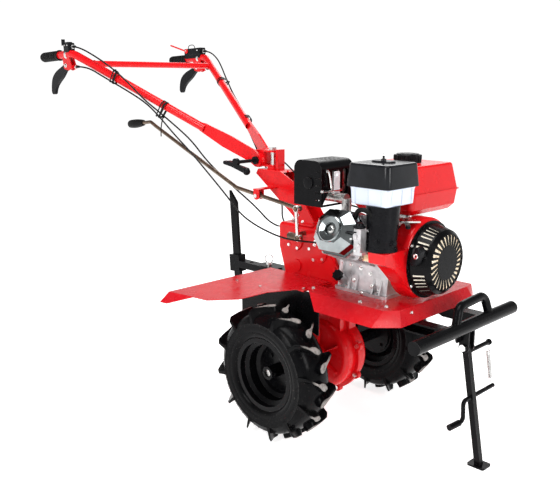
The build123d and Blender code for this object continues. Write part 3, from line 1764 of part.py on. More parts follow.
def make_column():
    """Handlebar column: an open channel on the case, with swing boss and rod guide."""
    half = column_half
    top = column_top_z
    with BuildPart() as column:
        with BuildSketch(side_plane(0)):
            with BuildLine():
                Polyline(
                    (-312, top - 16),
                    (-302, top),
                    (-200, top),
                    (-141, top - 29),
                    (-50, case_top_z + 14),
                    (-50, case_top_z),
                    (-112, case_top_z),
                    (-147, 642),
                    close=True,
                )
            make_face()
        extrude(amount=half, both=True)
        with BuildSketch(side_plane(0)):
            with BuildLine():
                Polyline(
                    (-303, top - 16),
                    (-298, top - plate),
                    (-120, top - plate),
                    (-20, case_top_z + 14),
                    (-20, case_top_z + 6),
                    (-108, case_top_z + 6),
                    (-142, 646),
                    close=True,
                )
            make_face()
        extrude(amount=half - plate, both=True, mode=Mode.SUBTRACT)
        with BuildSketch(level_plane(case_top_z, -82)):
            Rectangle(76, 2 * case_half_width)
        extrude(amount=6)
        with BuildSketch(level_plane(top - 12, swing_x)):
            Circle(swing_boss_radius)
        extrude(amount=swing_fork_low - head_clearance - top + 12)
        with BuildSketch(level_plane(top, swing_x + 32)):
            Rectangle(10, 32)
        extrude(amount=66)
        with BuildSketch(level_plane(fulcrum[1] + guide_rise, fulcrum[0])):
            with Locations((0, (shift_y - guide_half - half) / 2)):
                Rectangle(2 * guide_half, half - shift_y + guide_half - 2 * half)
        extrude(amount=guide_plate)
        for side in (1, -1):
            y = shift_y + side * (7.5 + guide_plate / 2)
            with BuildSketch(side_plane(y, *fulcrum)):
                Circle(guide_half)
                Rectangle(2 * guide_half, guide_rise, align=(Align.CENTER, Align.MIN))
                Circle(bolt_radius, mode=Mode.SUBTRACT)
            extrude(amount=guide_plate / 2, both=True)
        with BuildSketch(level_plane(top, swing_x)):
            Circle(swing_pin_radius + running_clearance)
        extrude(amount=40, both=True, mode=Mode.SUBTRACT)
    return column.part


def make_swing_pin():
    """Swing pin with its bright sleeve, head and nut."""
    low = column_top_z - 12
    fork = swing_plate + head_clearance
    with BuildPart() as pin:
        with BuildSketch(level_plane(low - 8, swing_x)):
            Circle(swing_pin_radius)
        extrude(amount=swing_fork_high + 10 - low)
        with BuildSketch(level_plane(swing_fork_low + fork, swing_x)):
            Circle(swing_bush_radius)
        extrude(amount=swing_fork_high - swing_fork_low - 2 * fork)
        with BuildSketch(level_plane(swing_fork_high + head_clearance, swing_x)):
            RegularPolygon(14, 6)
        extrude(amount=10)
        with BuildSketch(level_plane(low - 8, swing_x)):
            RegularPolygon(14, 6)
        extrude(amount=8 - seat_clearance)
    return pin.part


def make_swing_head():
    """Head that swings on the pin and carries the cross lug for the handlebar."""
    with BuildPart() as head:
        for low in (swing_fork_low, swing_fork_high - swing_plate):
            with BuildSketch(level_plane(low, swing_x)):
                Circle(swing_boss_radius)
                Rectangle(swing_x - tilt_x, 2 * lug_half, align=(Align.MAX, Align.CENTER))
            extrude(amount=swing_plate)
        with BuildSketch(level_plane(swing_fork_low, tilt_x)):
            Rectangle(40, 2 * lug_half)
        extrude(amount=swing_fork_high - swing_fork_low)
        with BuildSketch(side_plane(0, tilt_x, tilt_z)):
            Circle(tilt_rod_radius + running_clearance)
        extrude(amount=lug_half, both=True, mode=Mode.SUBTRACT)
        with BuildSketch(level_plane(swing_fork_low, swing_x)):
            Circle(swing_pin_radius + running_clearance)
        extrude(amount=100, both=True, mode=Mode.SUBTRACT)
    return head.part


# ---------------------------------------------------------------- handlebar
disc_thickness = 8.0
arm_plate = 8.0
arm_inner = lug_half + head_clearance + disc_thickness
arm_middle = arm_inner + arm_plate / 2
arm_foot = Vector(*from_axle(-328, arm_middle, 818))
arm_bend = Vector(*from_axle(*handle_bend))
arm_run = (arm_bend - arm_foot).normalized()
lever_pivot = (-1018.0, 1116.0)
adjuster_foot = from_axle(-980, grip_end[1] + 1, 1111)
adjuster_tip = from_axle(-966, grip_end[1] + 1, 1111)
cross_x = -905.0


def make_arm():
    """Left arm: toothed disc, flat gusset, tube, and the bracket of the clutch lever."""
    normal = arm_run.cross(Vector(0, 0, 1))
    gusset = Plane(arm_foot, x_dir=arm_run, z_dir=normal)
    tube = bent_bar(
        [arm_foot + arm_run * 196, arm_bend, Vector(*from_axle(*grip_end))],
        [70],
        handle_radius,
        handle_radius - handle_wall,
    )
    with BuildPart() as arm:
        with BuildSketch(side_plane(arm_inner, tilt_x, tilt_z)):
            Circle(22)
            with Locations((-328 - tilt_x, 818 - tilt_z)):
                Circle(23)
            make_hull()
        extrude(amount=-arm_plate)
        with BuildSketch(gusset):
            with BuildLine():
                Polyline(
                    (-4, -22),
                    (-4, 22),
                    (96, 24),
                    (196, handle_radius + 4),
                    (212, handle_radius),
                    (212, -handle_radius),
                    (196, -handle_radius - 2),
                    (110, -24),
                    close=True,
                )
            make_face()
        extrude(amount=arm_plate / 2, both=True)
        with BuildSketch(side_plane(lug_half + head_clearance, tilt_x, tilt_z)):
            RegularPolygon(24, 28)
        extrude(amount=-disc_thickness)
        with BuildSketch(side_plane(arm_middle, tilt_x, tilt_z)):
            Circle(tilt_rod_radius + running_clearance)
        extrude(amount=20, both=True, mode=Mode.SUBTRACT)
        add(tube)
        for side in (1, -1):
            y = grip_end[1] + 1 + side * 8.8
            with BuildSketch(side_plane(y)):
                with BuildLine():
                    Polyline(
                        (-1042, 1148),
                        (-996, 1150),
                        (-980, 1118),
                        (-980, 1104),
                        (-1002, 1098),
                        (-1032, 1104),
                        close=True,
                    )
                make_face()
                with Locations(lever_pivot):
                    Circle(bolt_radius, mode=Mode.SUBTRACT)
            extrude(amount=1.6, both=True)
        with BuildSketch(front_plane(-984, grip_end[1] + 1, 1111)):
            Rectangle(20, 12)
            Circle(1.6, mode=Mode.SUBTRACT)
        extrude(amount=4)
        with BuildSketch(side_plane(grip_end[1] - 8, *lever_pivot)):
            Circle(bolt_radius)
        extrude(amount=-18)
        add(round_bar(adjuster_foot, adjuster_tip, 4.2))
    return arm.part


def make_handlebar():
    """Both arms with the cross bar between them."""
    left = make_arm()
    right = mirror(left, about=Plane.XZ)
    share = (cross_x - arm_foot.X + axle_x) / (arm_bend.X - arm_foot.X)
    end = arm_foot + (arm_bend - arm_foot) * share
    other = Vector(end.X, -end.Y, end.Z)
    with BuildPart() as bar:
        add(left)
        add(right)
        add(round_bar(end, other, cross_bar_radius))
    return bar.part


def tube_plane(side, x):
    """Plane across the handle where it passes x: local x to the left, local y up."""
    end = Vector(*from_axle(*grip_end))
    run = Vector(*from_axle(*handle_bend)) - end
    spot = end + run * ((axle_x + x - end.X) / run.X)
    return Plane((spot.X, side * spot.Y, spot.Z), x_dir=(0, 1, 0), z_dir=(run.X, side * run.Y, run.Z))


def make_grip(side, length):
    """Ribbed rubber grip with a flange at its inner end."""
    start = tube_plane(side, grip_end[0] - 4)
    with BuildPart() as grip:
        with BuildSketch(start):
            Circle(grip_radius - 2)
        extrude(amount=length)
        for step in range(int((length - 14) / 11)):
            with BuildSketch(start.offset(8 + step * 11)):
                Circle(grip_radius)
            extrude(amount=6)
        with BuildSketch(start.offset(length)):
            Circle(grip_radius + 1.5)
        extrude(amount=4)
        with BuildSketch(start.offset(4)):
            Circle(handle_radius + seat_clearance)
        extrude(amount=length, mode=Mode.SUBTRACT)
    return grip.part


lever_outer = [(-1036, 1122), (-1078, 1105), (-1108, 1091), (-1131, 1070), (-1140, 1046), (-1142, 1024)]
lever_inner = [(-1118, 1020), (-1108, 1038), (-1084, 1058), (-1054, 1078), (-1026, 1101), (-1010, 1108)]


def make_clutch_lever(side):
    """Curved clutch lever hinged in the bracket under the handle."""
    with BuildPart() as lever:
        with BuildSketch(side_plane(side * (grip_end[1] + 1))):
            with BuildLine():
                outer = Spline(*lever_outer)
                inner = Spline(*lever_inner)
                ThreePointArc(outer @ 1, (-1131, 1012), inner @ 0)
                ThreePointArc(inner @ 1, (-1012, 1126), outer @ 0)
            make_face()
            with Locations(lever_pivot):
                Circle(bolt_radius + running_clearance, mode=Mode.SUBTRACT)
        extrude(amount=6, both=True)
    return lever.part


control_y = grip_end[1] + 1
control_z = grip_end[2] + 7
seat_radius = handle_radius + seat_clearance
throttle_pivot = (-1002.0, 1198.0)
control_pivot = (-1074.0, 1183.0)


def make_controls():
    """Throttle block on the right handle and control box on the left one."""
    with BuildPart() as block:
        with BuildSketch(tube_plane(-1, -1018)):
            with Locations((0, 24.5)):
                RectangleRounded(26, 28, 4)
            Rectangle(26, 20, align=(Align.CENTER, Align.MIN))
            Circle(seat_radius, mode=Mode.SUBTRACT)
        extrude(amount=34)
        with BuildSketch(front_plane(-984 - 4, -control_y, 1181)):
            Circle(5)
        extrude(amount=4)
    with BuildPart() as box:
        with BuildSketch(tube_plane(1, -1088)):
            with Locations((0, 27)):
                RectangleRounded(34, 28, 5)
            Rectangle(30, 20, align=(Align.CENTER, Align.MIN))
            Circle(seat_radius, mode=Mode.SUBTRACT)
        extrude(amount=97)
        with BuildSketch(front_plane(-988 - 6, control_y + 2, 1182)):
            Circle(5)
        extrude(amount=6)
    group("control_boxes", [block.part, box.part])


def make_throttle_lever():
    """Small T lever on top of the throttle block."""
    with BuildPart() as lever:
        with BuildSketch(level_plane(control_z + 40.3, throttle_pivot[0], -control_y)):
            Circle(10)
            with Locations((-22, 0)):
                Rectangle(44, 7)
        extrude(amount=3)
        with BuildSketch(level_plane(control_z + 32, throttle_pivot[0] - 44, -control_y)):
            SlotOverall(14, 9, rotation=90)
        extrude(amount=22)
    return lever.part


def make_control_lever():
    """Thin red lever at the side of the control box."""
    near = control_y - 16 - 0.3
    with BuildPart() as lever:
        with BuildSketch(side_plane(near, *control_pivot)):
            Circle(9)
            SlotCenterPoint((-54, 14), (-105, 27), 6)
        extrude(amount=3)
    return lever.part


def make_clamp_lever():
    """Tilt clamp: threaded cross rod, far nut and a lever with a ball end."""
    far = arm_inner + arm_plate
    near = far + 92
    with BuildPart() as clamp:
        with BuildSketch(side_plane(far + 14, tilt_x, tilt_z)):
            Circle(tilt_rod_radius)
        extrude(amount=far + 14 + near)
        with BuildSketch(side_plane(far + 11, tilt_x, tilt_z)):
            RegularPolygon(12, 6)
        extrude(amount=11 - seat_clearance)
        with BuildSketch(side_plane(-far - seat_clearance, tilt_x, tilt_z)):
            Circle(13)
        extrude(amount=9)
        with BuildSketch(side_plane(-near + 8, tilt_x, tilt_z)):
            SlotCenterPoint((6, -14), (44, -24), 15)
            SlotCenterPoint((0, -12), (-52, -4), 12)
            Circle(13)
        extrude(amount=12)
        with Locations(from_axle(tilt_x + 50, -near + 2, tilt_z - 26)):
            Sphere(12)
    return clamp.part


# ---------------------------------------------------------------- shifting
def make_shift_lever():
    """Long shift rod with its fulcrum eye and the pin of the link."""
    route = [
        from_axle(knob_seat_x, shift_y, 909),
        from_axle(-799, shift_y, 914),
        from_axle(-762, shift_y, 897),
        from_axle(-329, shift_y, 717),
        from_axle(link_top[0], shift_y, link_top[1]),
    ]
    with BuildPart() as lever:
        add(bent_bar(route, [24, 40, 60], shift_rod_radius))
        with BuildSketch(side_plane(shift_y + 7, *fulcrum)):
            Circle(11)
        extrude(amount=14)
        with BuildSketch(side_plane(shift_y + 7, *link_top)):
            Circle(9)
        extrude(amount=14)
        with BuildSketch(side_plane(shift_y - 7, *link_top)):
            Circle(bolt_radius)
        extrude(amount=11)
        with BuildSketch(side_plane(shift_y + 7, *fulcrum)):
            Circle(bolt_radius + running_clearance)
        extrude(amount=14, mode=Mode.SUBTRACT)
    keep("shift_lever", lever.part)
    with BuildPart() as knob:
        with BuildSketch(front_plane(knob_seat_x - knob_length, shift_y, 901)):
            Circle(14)
        with BuildSketch(front_plane(knob_seat_x - knob_length * 0.7, shift_y, 903)):
            Circle(16)
        with BuildSketch(front_plane(knob_seat_x, shift_y, 909)):
            Circle(11)
        loft()
        fillet(knob.edges().group_by(Axis.X)[0], 7)
        add(
            round_bar(route[0], route[1], shift_rod_radius + running_clearance),
            mode=Mode.SUBTRACT,
        )
    keep("shift_knob", knob.part)


def make_link():
    """Short rod with an eye at each end, down to the selector arm."""
    near = shift_y - 7 - head_clearance
    middle = ((link_top[0] + link_foot[0]) / 2, (link_top[1] + link_foot[1]) / 2)
    with BuildPart() as link:
        with BuildSketch(side_plane(near)):
            SlotCenterPoint(middle, link_foot, 9)
            with Locations(link_top, link_foot):
                Circle(10.5)
            with Locations(link_top):
                Circle(bolt_radius + running_clearance, mode=Mode.SUBTRACT)
            with Locations(link_foot):
                Circle(bolt_radius + link_play, mode=Mode.SUBTRACT)
        extrude(amount=7)
    return link.part


def make_selector_arm():
    """Selector arm on its shaft, with the pin of the link."""
    face = shift_y - 7
    with BuildPart() as arm:
        with BuildSketch(side_plane(face + 9, selector_x, link_foot[1])):
            Circle(12)
            with Locations((link_foot[0] - selector_x, 0)):
                Circle(10)
            make_hull()
        extrude(amount=9)
        with BuildSketch(side_plane(face, *link_foot)):
            Circle(bolt_radius)
        extrude(amount=11)
        with BuildSketch(side_plane(face + 9, selector_x, link_foot[1])):
            Circle(selector_radius)
        extrude(amount=face + 9 + case_half_width + seat_clearance)
    return arm.part


# ---------------------------------------------------------------- cables
def cable(points):
    """A cable of round section through its route, each bend as wide as its runs allow."""
    stops = [Vector(*from_axle(*point)) for point in points]
    runs = [after - before for before, after in zip(stops, stops[1:])]
    bends = []
    for before, after in zip(runs, runs[1:]):
        turn = radians(before.get_angle(after))
        bends.append(0.45 * min(before.length, after.length) / tan(turn / 2))
    tube = bent_bar(stops, bends, cable_radius)
    straight = sum(run.length for run in runs)
    print("cable", round(straight), "smallest bend", round(min(bends)))
    return tube


cable_radius = 2.8
throttle_route = [
    (-984, -303, 1181),
    (-944, -303, 1181),
    (-862, -274, 1140),
    (-790, -247, 1092),
    (-723, -230, 1040),
    (-685, -213, 1000),
    (-647, -176, 956),
    (-604, -130, 901),
    (-568, -98, 856),
    (-515, -80, 793),
    (-437, -75, 743),
    (-372, -68, 702),
    (-295, -50, 650),
    (-246, -22, 590),
    (case_rear, -22, 590),
]
near_clutch_route = [
    (-966, -303, 1111),
    (-926, -303, 1111),
    (-886, -290, 1102),
    (-843, -270, 1076),
    (-762, -236, 1033),
    (-687, -206, 990),
    (-643, -186, 948),
    (-573, -172, 884),
    (-500, -158, 826),
    (-425, -142, 756),
    (-352, -128, 688),
    (-290, -124, 634),
    (-210, -124, 604),
    (-101, -131, 586),
    (-28, -138, 588),
    (24, -140, clutch_gland_z),
    (clutch_gland_x, -124, clutch_gland_z),
    (clutch_gland_x, clutch_gland_y, clutch_gland_z),
]
far_clutch_route = [(x, -y, z) for x, y, z in near_clutch_route[:7]] + [
    (-560, 156, 898),
    (-492, 126, 846),
    (-420, 98, 786),
    (-352, 84, 728),
    (-290, 72, 664),
    (-236, 14, 590),
    (case_rear, 14, 590),
]
control_route = [
    (-988, 305, 1182),
    (-948, 305, 1182),
    (-900, 306, 1154),
    (-858, 294, 1118),
    (-812, 272, 1082),
    (-760, 244, 1052),
    (-700, 214, 1013),
    (-620, 180, 966),
    (-540, 146, 920),
    (-480, 112, 872),
    (-395, 80, 824),
    (-339, 68, 808),
    (-290, 60, 800),
    (-240, 34, 795),
    (-190, 8, 783),
    (-142, -14, 768),
    (-84, -24, 746),
    (-26, -22, 722),
    (30, -8, 704),
    (80, gland_y, gland_z),
    (gland_x, gland_y, gland_z),
]


def make_cables():
    """Control cables from the handles to the gearcase and the engine."""
    keep("throttle_cable", cable(throttle_route))
    group("clutch_cables", [cable(near_clutch_route), cable(far_clutch_route)])
    keep("control_cable", cable(control_route))


def make_steering():
    """Column, swing head, handlebar and everything worked from it."""
    keep("column", make_column())
    body_bolts.append(make_swing_pin())
    cheek = 7.5 + guide_plate
    seat = from_axle(fulcrum[0], shift_y - cheek, fulcrum[1])
    body_bolts.append(hex_bolt(seat, (0, -1, 0), 2 * cheek + 8, nut_at=2 * cheek))
    keep("swing_head", make_swing_head())
    keep("handlebar", make_handlebar())
    group("grips", [make_grip(-1, 122), make_grip(1, 102)])
    keep("clutch_lever_left", make_clutch_lever(1))
    keep("clutch_lever_right", make_clutch_lever(-1))
    make_controls()
    keep("throttle_lever", make_throttle_lever())
    keep("control_lever", make_control_lever())
    keep("clamp_lever", make_clamp_lever())
    make_shift_lever()
    keep("shift_link", make_link())
    keep("selector_arm", make_selector_arm())
    make_cables()


make_wheels()
make_gearbox()
keep("transmission_case", make_transmission_case())
make_case_fittings()
keep("frame", make_frame())
make_bumper()
keep("tray", make_tray())
make_fenders()
make_stand()
make_hitch()
make_engine()
make_steering()
group("body_bolts", body_bolts)
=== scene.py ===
# %% [markdown]
# # A walking tiller, painted and dressed
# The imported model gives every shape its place. This file adds the paint, rubber and plating,
# the small pieces that bend or are too fine for the solid model, and the light to see them by.
# Read it from the top: each cell explains one finish or piece, and the cell below it makes it.

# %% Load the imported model
import math
import random

import bmesh
import bpy
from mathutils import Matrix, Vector, geometry


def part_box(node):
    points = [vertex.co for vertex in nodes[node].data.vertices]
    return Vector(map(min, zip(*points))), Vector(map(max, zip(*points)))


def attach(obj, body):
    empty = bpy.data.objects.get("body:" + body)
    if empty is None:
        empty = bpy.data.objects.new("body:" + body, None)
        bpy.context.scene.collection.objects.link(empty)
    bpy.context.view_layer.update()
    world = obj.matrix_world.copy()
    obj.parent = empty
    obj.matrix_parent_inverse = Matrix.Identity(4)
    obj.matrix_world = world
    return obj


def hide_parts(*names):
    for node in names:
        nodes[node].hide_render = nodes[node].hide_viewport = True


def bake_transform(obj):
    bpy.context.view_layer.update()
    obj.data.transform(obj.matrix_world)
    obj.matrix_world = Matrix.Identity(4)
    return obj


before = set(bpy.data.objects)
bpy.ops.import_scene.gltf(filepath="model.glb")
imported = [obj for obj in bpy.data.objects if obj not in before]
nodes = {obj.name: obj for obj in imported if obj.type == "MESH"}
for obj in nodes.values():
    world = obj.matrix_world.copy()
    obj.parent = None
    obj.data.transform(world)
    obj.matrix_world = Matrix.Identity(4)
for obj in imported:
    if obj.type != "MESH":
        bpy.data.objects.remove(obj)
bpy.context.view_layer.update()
axle_low, axle_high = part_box("tyre_right")
AXLE = Vector(((axle_low.x + axle_high.x) / 2, 0, (axle_low.z + axle_high.z) / 2))
print(len(nodes), "shapes, axle at", [round(v, 4) for v in AXLE])

# %% [markdown]
# ## Camera
# The camera stands off the front right corner, a little above the engine, and looks down by
# thirteen degrees. It stands close, so the near wheel looks larger than the far one. A longer
# lens from farther off would flatten that, and the machine would lose its depth.

# %% Camera
camera_data = bpy.data.cameras.new("camera")
camera_data.lens = 47.567
camera_data.sensor_width = 36.0
camera = bpy.data.objects.new("camera", camera_data)
camera.location = (1.803, -1.732, 1.06)
turn, dip = math.radians(44.863), math.radians(12.99)
level = math.cos(dip)
forward = Vector((-math.sin(turn) * level, math.cos(turn) * level, -math.sin(dip)))
camera.rotation_euler = forward.to_track_quat("-Z", "Y").to_euler()
bpy.context.scene.collection.objects.link(camera)
bpy.context.scene.camera = camera
print("camera", tuple(round(v, 3) for v in camera.location))

# %% [markdown]
# ## Floor and light
# A white floor runs into a white surround. One large lamp hangs overhead, one stands beside the
# camera, one lights the front and one the far floor, so chrome has bright and dark things to
# mirror. The floor glows a little, which keeps it white where the lamps fall off.

# %% White floor
FLOOR_SIZE = 40


def white_floor():
    """A large plain floor just under the wheels."""
    bpy.ops.mesh.primitive_plane_add(size=FLOOR_SIZE, location=(0.3, 0.3, -0.001))
    floor = bpy.context.object
    floor.name = "floor"
    surface = bpy.data.materials.new("floor_white")
    surface.use_nodes = True
    shader = surface.node_tree.nodes["Principled BSDF"]
    shader.inputs["Base Color"].default_value = (0.9, 0.9, 0.9, 1)
    shader.inputs["Roughness"].default_value = 0.8
    shader.inputs["Specular IOR Level"].default_value = 0.0
    shader.inputs["Emission Color"].default_value = (1, 1, 1, 1)
    shader.inputs["Emission Strength"].default_value = 0.78
    floor.data.materials.append(surface)


white_floor()
print("floor", FLOOR_SIZE, "m wide")


# %% Lamps and surround
def lamp(name, place, aim, width, height, watts):
    """A soft rectangular lamp that faces a point."""
    data = bpy.data.lights.new(name, "AREA")
    data.shape = "RECTANGLE"
    data.size = width
    data.size_y = height
    data.energy = watts
    item = bpy.data.objects.new(name, data)
    item.location = place
    item.rotation_euler = (Vector(aim) - Vector(place)).to_track_quat("-Z", "Y").to_euler()
    bpy.context.scene.collection.objects.link(item)


def surround(low, high):
    """A world that is white near the horizon and falls to a dim ceiling, for dark reflections."""
    world = bpy.data.worlds.new("surround")
    world.use_nodes = True
    tree = world.node_tree
    place = tree.nodes.new("ShaderNodeTexCoord")
    split = tree.nodes.new("ShaderNodeSeparateXYZ")
    fall = tree.nodes.new("ShaderNodeMapRange")
    fall.inputs["From Min"].default_value = 0.16
    fall.inputs["From Max"].default_value = 0.42
    fall.inputs["To Min"].default_value = low
    fall.inputs["To Max"].default_value = high
    tree.links.new(place.outputs["Generated"], split.inputs["Vector"])
    tree.links.new(split.outputs["Z"], fall.inputs["Value"])
    tree.links.new(fall.outputs["Result"], tree.nodes["Background"].inputs["Strength"])
    tree.nodes["Background"].inputs["Color"].default_value = (1, 1, 1, 1)
    bpy.context.scene.world = world


bpy.context.scene.view_settings.view_transform = "Standard"
surround(1.05, 0.22)
lamp("overhead", (0.5, -0.5, 2.9), (0.2, 0, 0.3), 1.8, 1.2, 52)
lamp("beside_camera", (0.4, -2.7, 1.9), (0.2, 0, 0.5), 0.8, 1.2, 34)
lamp("front", (2.9, -0.2, 1.5), (0.3, 0, 0.5), 0.5, 1.2, 26)
lamp("far_floor", (-1.5, 2.6, 2.6), (-0.2, 0.6, 0), 2.0, 2.0, 40)
print("four lamps and a white surround")

# %% [markdown]
# ## Finishes
# Each finish is a small chain: a base colour broken up by noise, a roughness that wanders a
# little, and a fine bump. The helpers below keep those chains short. Noise is used and not
# painted maps, because it has no seams and suits every piece at any size.


# %% Material helpers
class Finish:
    """A principled material with helpers for noise, ramps and bump."""

    def __init__(self, name, colour, roughness, metallic=0.0):
        self.material = bpy.data.materials.new(name)
        self.material.use_nodes = True
        self.tree = self.material.node_tree
        self.shader = self.tree.nodes["Principled BSDF"]
        self.shader.inputs["Metallic"].default_value = metallic
        self.shader.inputs["Roughness"].default_value = roughness
        self.colour = self.rgb(colour)
        self.height = None
        self.where = self.tree.nodes.new("ShaderNodeTexCoord").outputs["Object"]

    def rgb(self, colour):
        """A fixed colour as a socket that can be painted over."""
        node = self.tree.nodes.new("ShaderNodeRGB")
        node.outputs[0].default_value = (*colour, 1)
        return node.outputs[0]

    def link(self, source, target):
        self.tree.links.new(source, target)

    def noise(self, scale, detail=3.0, stretch=(1, 1, 1), rough=0.55):
        """Noise from 0 to 1; scale is in waves per metre."""
        place = self.tree.nodes.new("ShaderNodeMapping")
        place.inputs["Scale"].default_value = stretch
        self.link(self.where, place.inputs["Vector"])
        node = self.tree.nodes.new("ShaderNodeTexNoise")
        node.inputs["Scale"].default_value = scale
        node.inputs["Detail"].default_value = detail
        node.inputs["Roughness"].default_value = rough
        self.link(place.outputs["Vector"], node.inputs["Vector"])
        return node.outputs["Fac"]

    def spots(self, scale, spread=1.0):
        """Distance to the nearest scattered point."""
        node = self.tree.nodes.new("ShaderNodeTexVoronoi")
        node.inputs["Scale"].default_value = scale
        node.inputs["Randomness"].default_value = spread
        self.link(self.where, node.inputs["Vector"])
        return node.outputs["Distance"]

    def ramp(self, value, low, high, low_value=0.0, high_value=1.0):
        """Stretch a value between two levels to a new pair of levels."""
        node = self.tree.nodes.new("ShaderNodeMapRange")
        node.inputs["From Min"].default_value = low
        node.inputs["From Max"].default_value = high
        node.inputs["To Min"].default_value = low_value
        node.inputs["To Max"].default_value = high_value
        self.link(value, node.inputs["Value"])
        return node.outputs["Result"]

    def math(self, kind, first, second):
        """One step of arithmetic on sockets or plain numbers."""
        node = self.tree.nodes.new("ShaderNodeMath")
        node.operation = kind
        for slot, value in zip(node.inputs, (first, second)):
            if isinstance(value, (int, float)):
                slot.default_value = value
            else:
                self.link(value, slot)
        return node.outputs["Value"]

    def edges(self, radius):
        """Near 1 on worn edges, from the bevelled normal against the flat one."""
        bevel = self.tree.nodes.new("ShaderNodeBevel")
        bevel.samples = 4
        bevel.inputs["Radius"].default_value = radius
        flat = self.tree.nodes.new("ShaderNodeNewGeometry")
        dot = self.tree.nodes.new("ShaderNodeVectorMath")
        dot.operation = "DOT_PRODUCT"
        self.link(bevel.outputs["Normal"], dot.inputs[0])
        self.link(flat.outputs["Normal"], dot.inputs[1])
        return self.ramp(dot.outputs["Value"], 0.97, 0.75)

    def paint(self, share, colour):
        """Lay another colour over the base where share is high."""
        node = self.tree.nodes.new("ShaderNodeMix")
        node.data_type = "RGBA"
        if isinstance(share, (int, float)):
            node.inputs["Factor"].default_value = share
        else:
            self.link(share, node.inputs["Factor"])
        self.link(self.colour, node.inputs[6])
        node.inputs[7].default_value = (*colour, 1)
        self.colour = node.outputs[2]

    def rough(self, value):
        self.link(value, self.shader.inputs["Roughness"])

    def bump(self, height, depth, strength=0.5):
        """Add a bump, in metres of depth, over any bump laid before."""
        node = self.tree.nodes.new("ShaderNodeBump")
        node.inputs["Strength"].default_value = strength
        node.inputs["Distance"].default_value = depth
        self.link(height, node.inputs["Height"])
        if self.height is not None:
            self.link(self.height, node.inputs["Normal"])
        self.height = node.outputs["Normal"]

    def sheen(self, specular, coat=0.0, coat_roughness=0.1):
        """How strongly the surface mirrors, and how much clear coat lies over it."""
        self.shader.inputs["Specular IOR Level"].default_value = specular
        if coat:
            self.shader.inputs["Coat Weight"].default_value = coat
            self.shader.inputs["Coat Roughness"].default_value = coat_roughness

    def glow(self, colour, strength):
        """A little light of its own, for pale mouldings that stand in the dark."""
        self.shader.inputs["Emission Color"].default_value = (*colour, 1)
        self.shader.inputs["Emission Strength"].default_value = strength

    def done(self):
        """Join the colour and the bump to the shader and hand over the material."""
        self.link(self.colour, self.shader.inputs["Base Color"])
        if self.height is not None:
            self.link(self.height, self.shader.inputs["Normal"])
        return self.material


print("material helpers ready")

# %% [markdown]
# ### Paints
# The body colour is a gloss red powder coat: nearly even, with faint orange peel and darker,
# duller paint in the broad mottles. The tray is the same red, scuffed by boots. The frame is
# satin black, rubbed grey along its edges.


# %% Paints
def red_paint():
    """Gloss red of the sheet metal and castings."""
    f = Finish("red_paint", (0.66, 0.004, 0.007), 0.26)
    mottle = f.noise(9, 4)
    f.paint(f.ramp(mottle, 0.35, 0.75, 0.0, 0.35), (0.48, 0.003, 0.007))
    f.paint(f.ramp(f.noise(38, 5), 0.58, 0.80, 0.0, 0.10), (0.80, 0.06, 0.045))
    chips = f.ramp(f.noise(60, 4), 0.45, 0.62, 0, 0.55)
    f.paint(f.math("MULTIPLY", f.edges(0.0012), chips), (0.36, 0.03, 0.03))
    f.rough(f.ramp(f.noise(22, 4), 0.3, 0.8, 0.16, 0.34))
    f.bump(f.noise(260, 2), 0.0004, 0.10)
    f.sheen(0.18, 0.16, 0.07)
    return f.done()


def tray_red():
    """The same red, scuffed and specked where boots and stones reach it."""
    f = Finish("tray_red", (0.58, 0.004, 0.009), 0.28)
    f.paint(f.ramp(f.noise(7, 5), 0.36, 0.72, 0.0, 0.55), (0.40, 0.005, 0.014))
    f.paint(f.ramp(f.noise(75, 6, rough=0.7), 0.56, 0.72, 0.0, 0.30), (0.72, 0.10, 0.10))
    specks = f.ramp(f.spots(120), 0.11, 0.05, 0.0, 0.6)
    f.paint(f.math("MULTIPLY", specks, f.ramp(f.noise(5, 2), 0.48, 0.6)), (0.9, 0.45, 0.42))
    f.rough(f.ramp(f.noise(26, 5), 0.3, 0.75, 0.16, 0.42))
    f.bump(f.noise(140, 3), 0.0007, 0.16)
    f.sheen(0.2, 0.18)
    return f.done()


def black_paint(name, colour, shine):
    """Satin black, rubbed grey along the edges."""
    f = Finish(name, colour, shine)
    f.paint(f.ramp(f.noise(14, 5), 0.42, 0.78, 0.0, 0.5), tuple(2.4 * c for c in colour))
    chips = f.ramp(f.noise(80, 4), 0.42, 0.6, 0, 0.7)
    f.paint(f.math("MULTIPLY", f.edges(0.001), chips), (0.16, 0.15, 0.15))
    f.rough(f.ramp(f.noise(30, 4), 0.3, 0.8, shine * 0.75, shine * 1.5))
    f.bump(f.noise(420, 3), 0.0004, 0.18)
    f.sheen(0.07, 0.03)
    return f.done()


print("red and black paints")

# %% [markdown]
# ### Metals
# Bolts are bright zinc. The engine is cast aluminium with a sandy skin. Its valve cover is
# polished steel, dark partly because it mirrors the dim room and partly from painted dark
# reflections in its colour, with painted light patches; the shift rod has a bronze-brown skin.


# %% Metals
def zinc(name="zinc", colour=(0.80, 0.80, 0.79), shine=0.2):
    """Bright plating with duller blotches."""
    f = Finish(name, colour, shine, 1.0)
    f.paint(f.ramp(f.noise(55, 4), 0.4, 0.75, 0.0, 0.45), (0.48, 0.47, 0.44))
    f.paint(f.math("MULTIPLY", f.edges(0.0006), 0.6), (0.95, 0.95, 0.95))
    f.rough(f.ramp(f.noise(90, 4), 0.3, 0.8, shine * 0.6, shine * 1.9))
    f.bump(f.noise(700, 2), 0.0002, 0.12)
    return f.done()


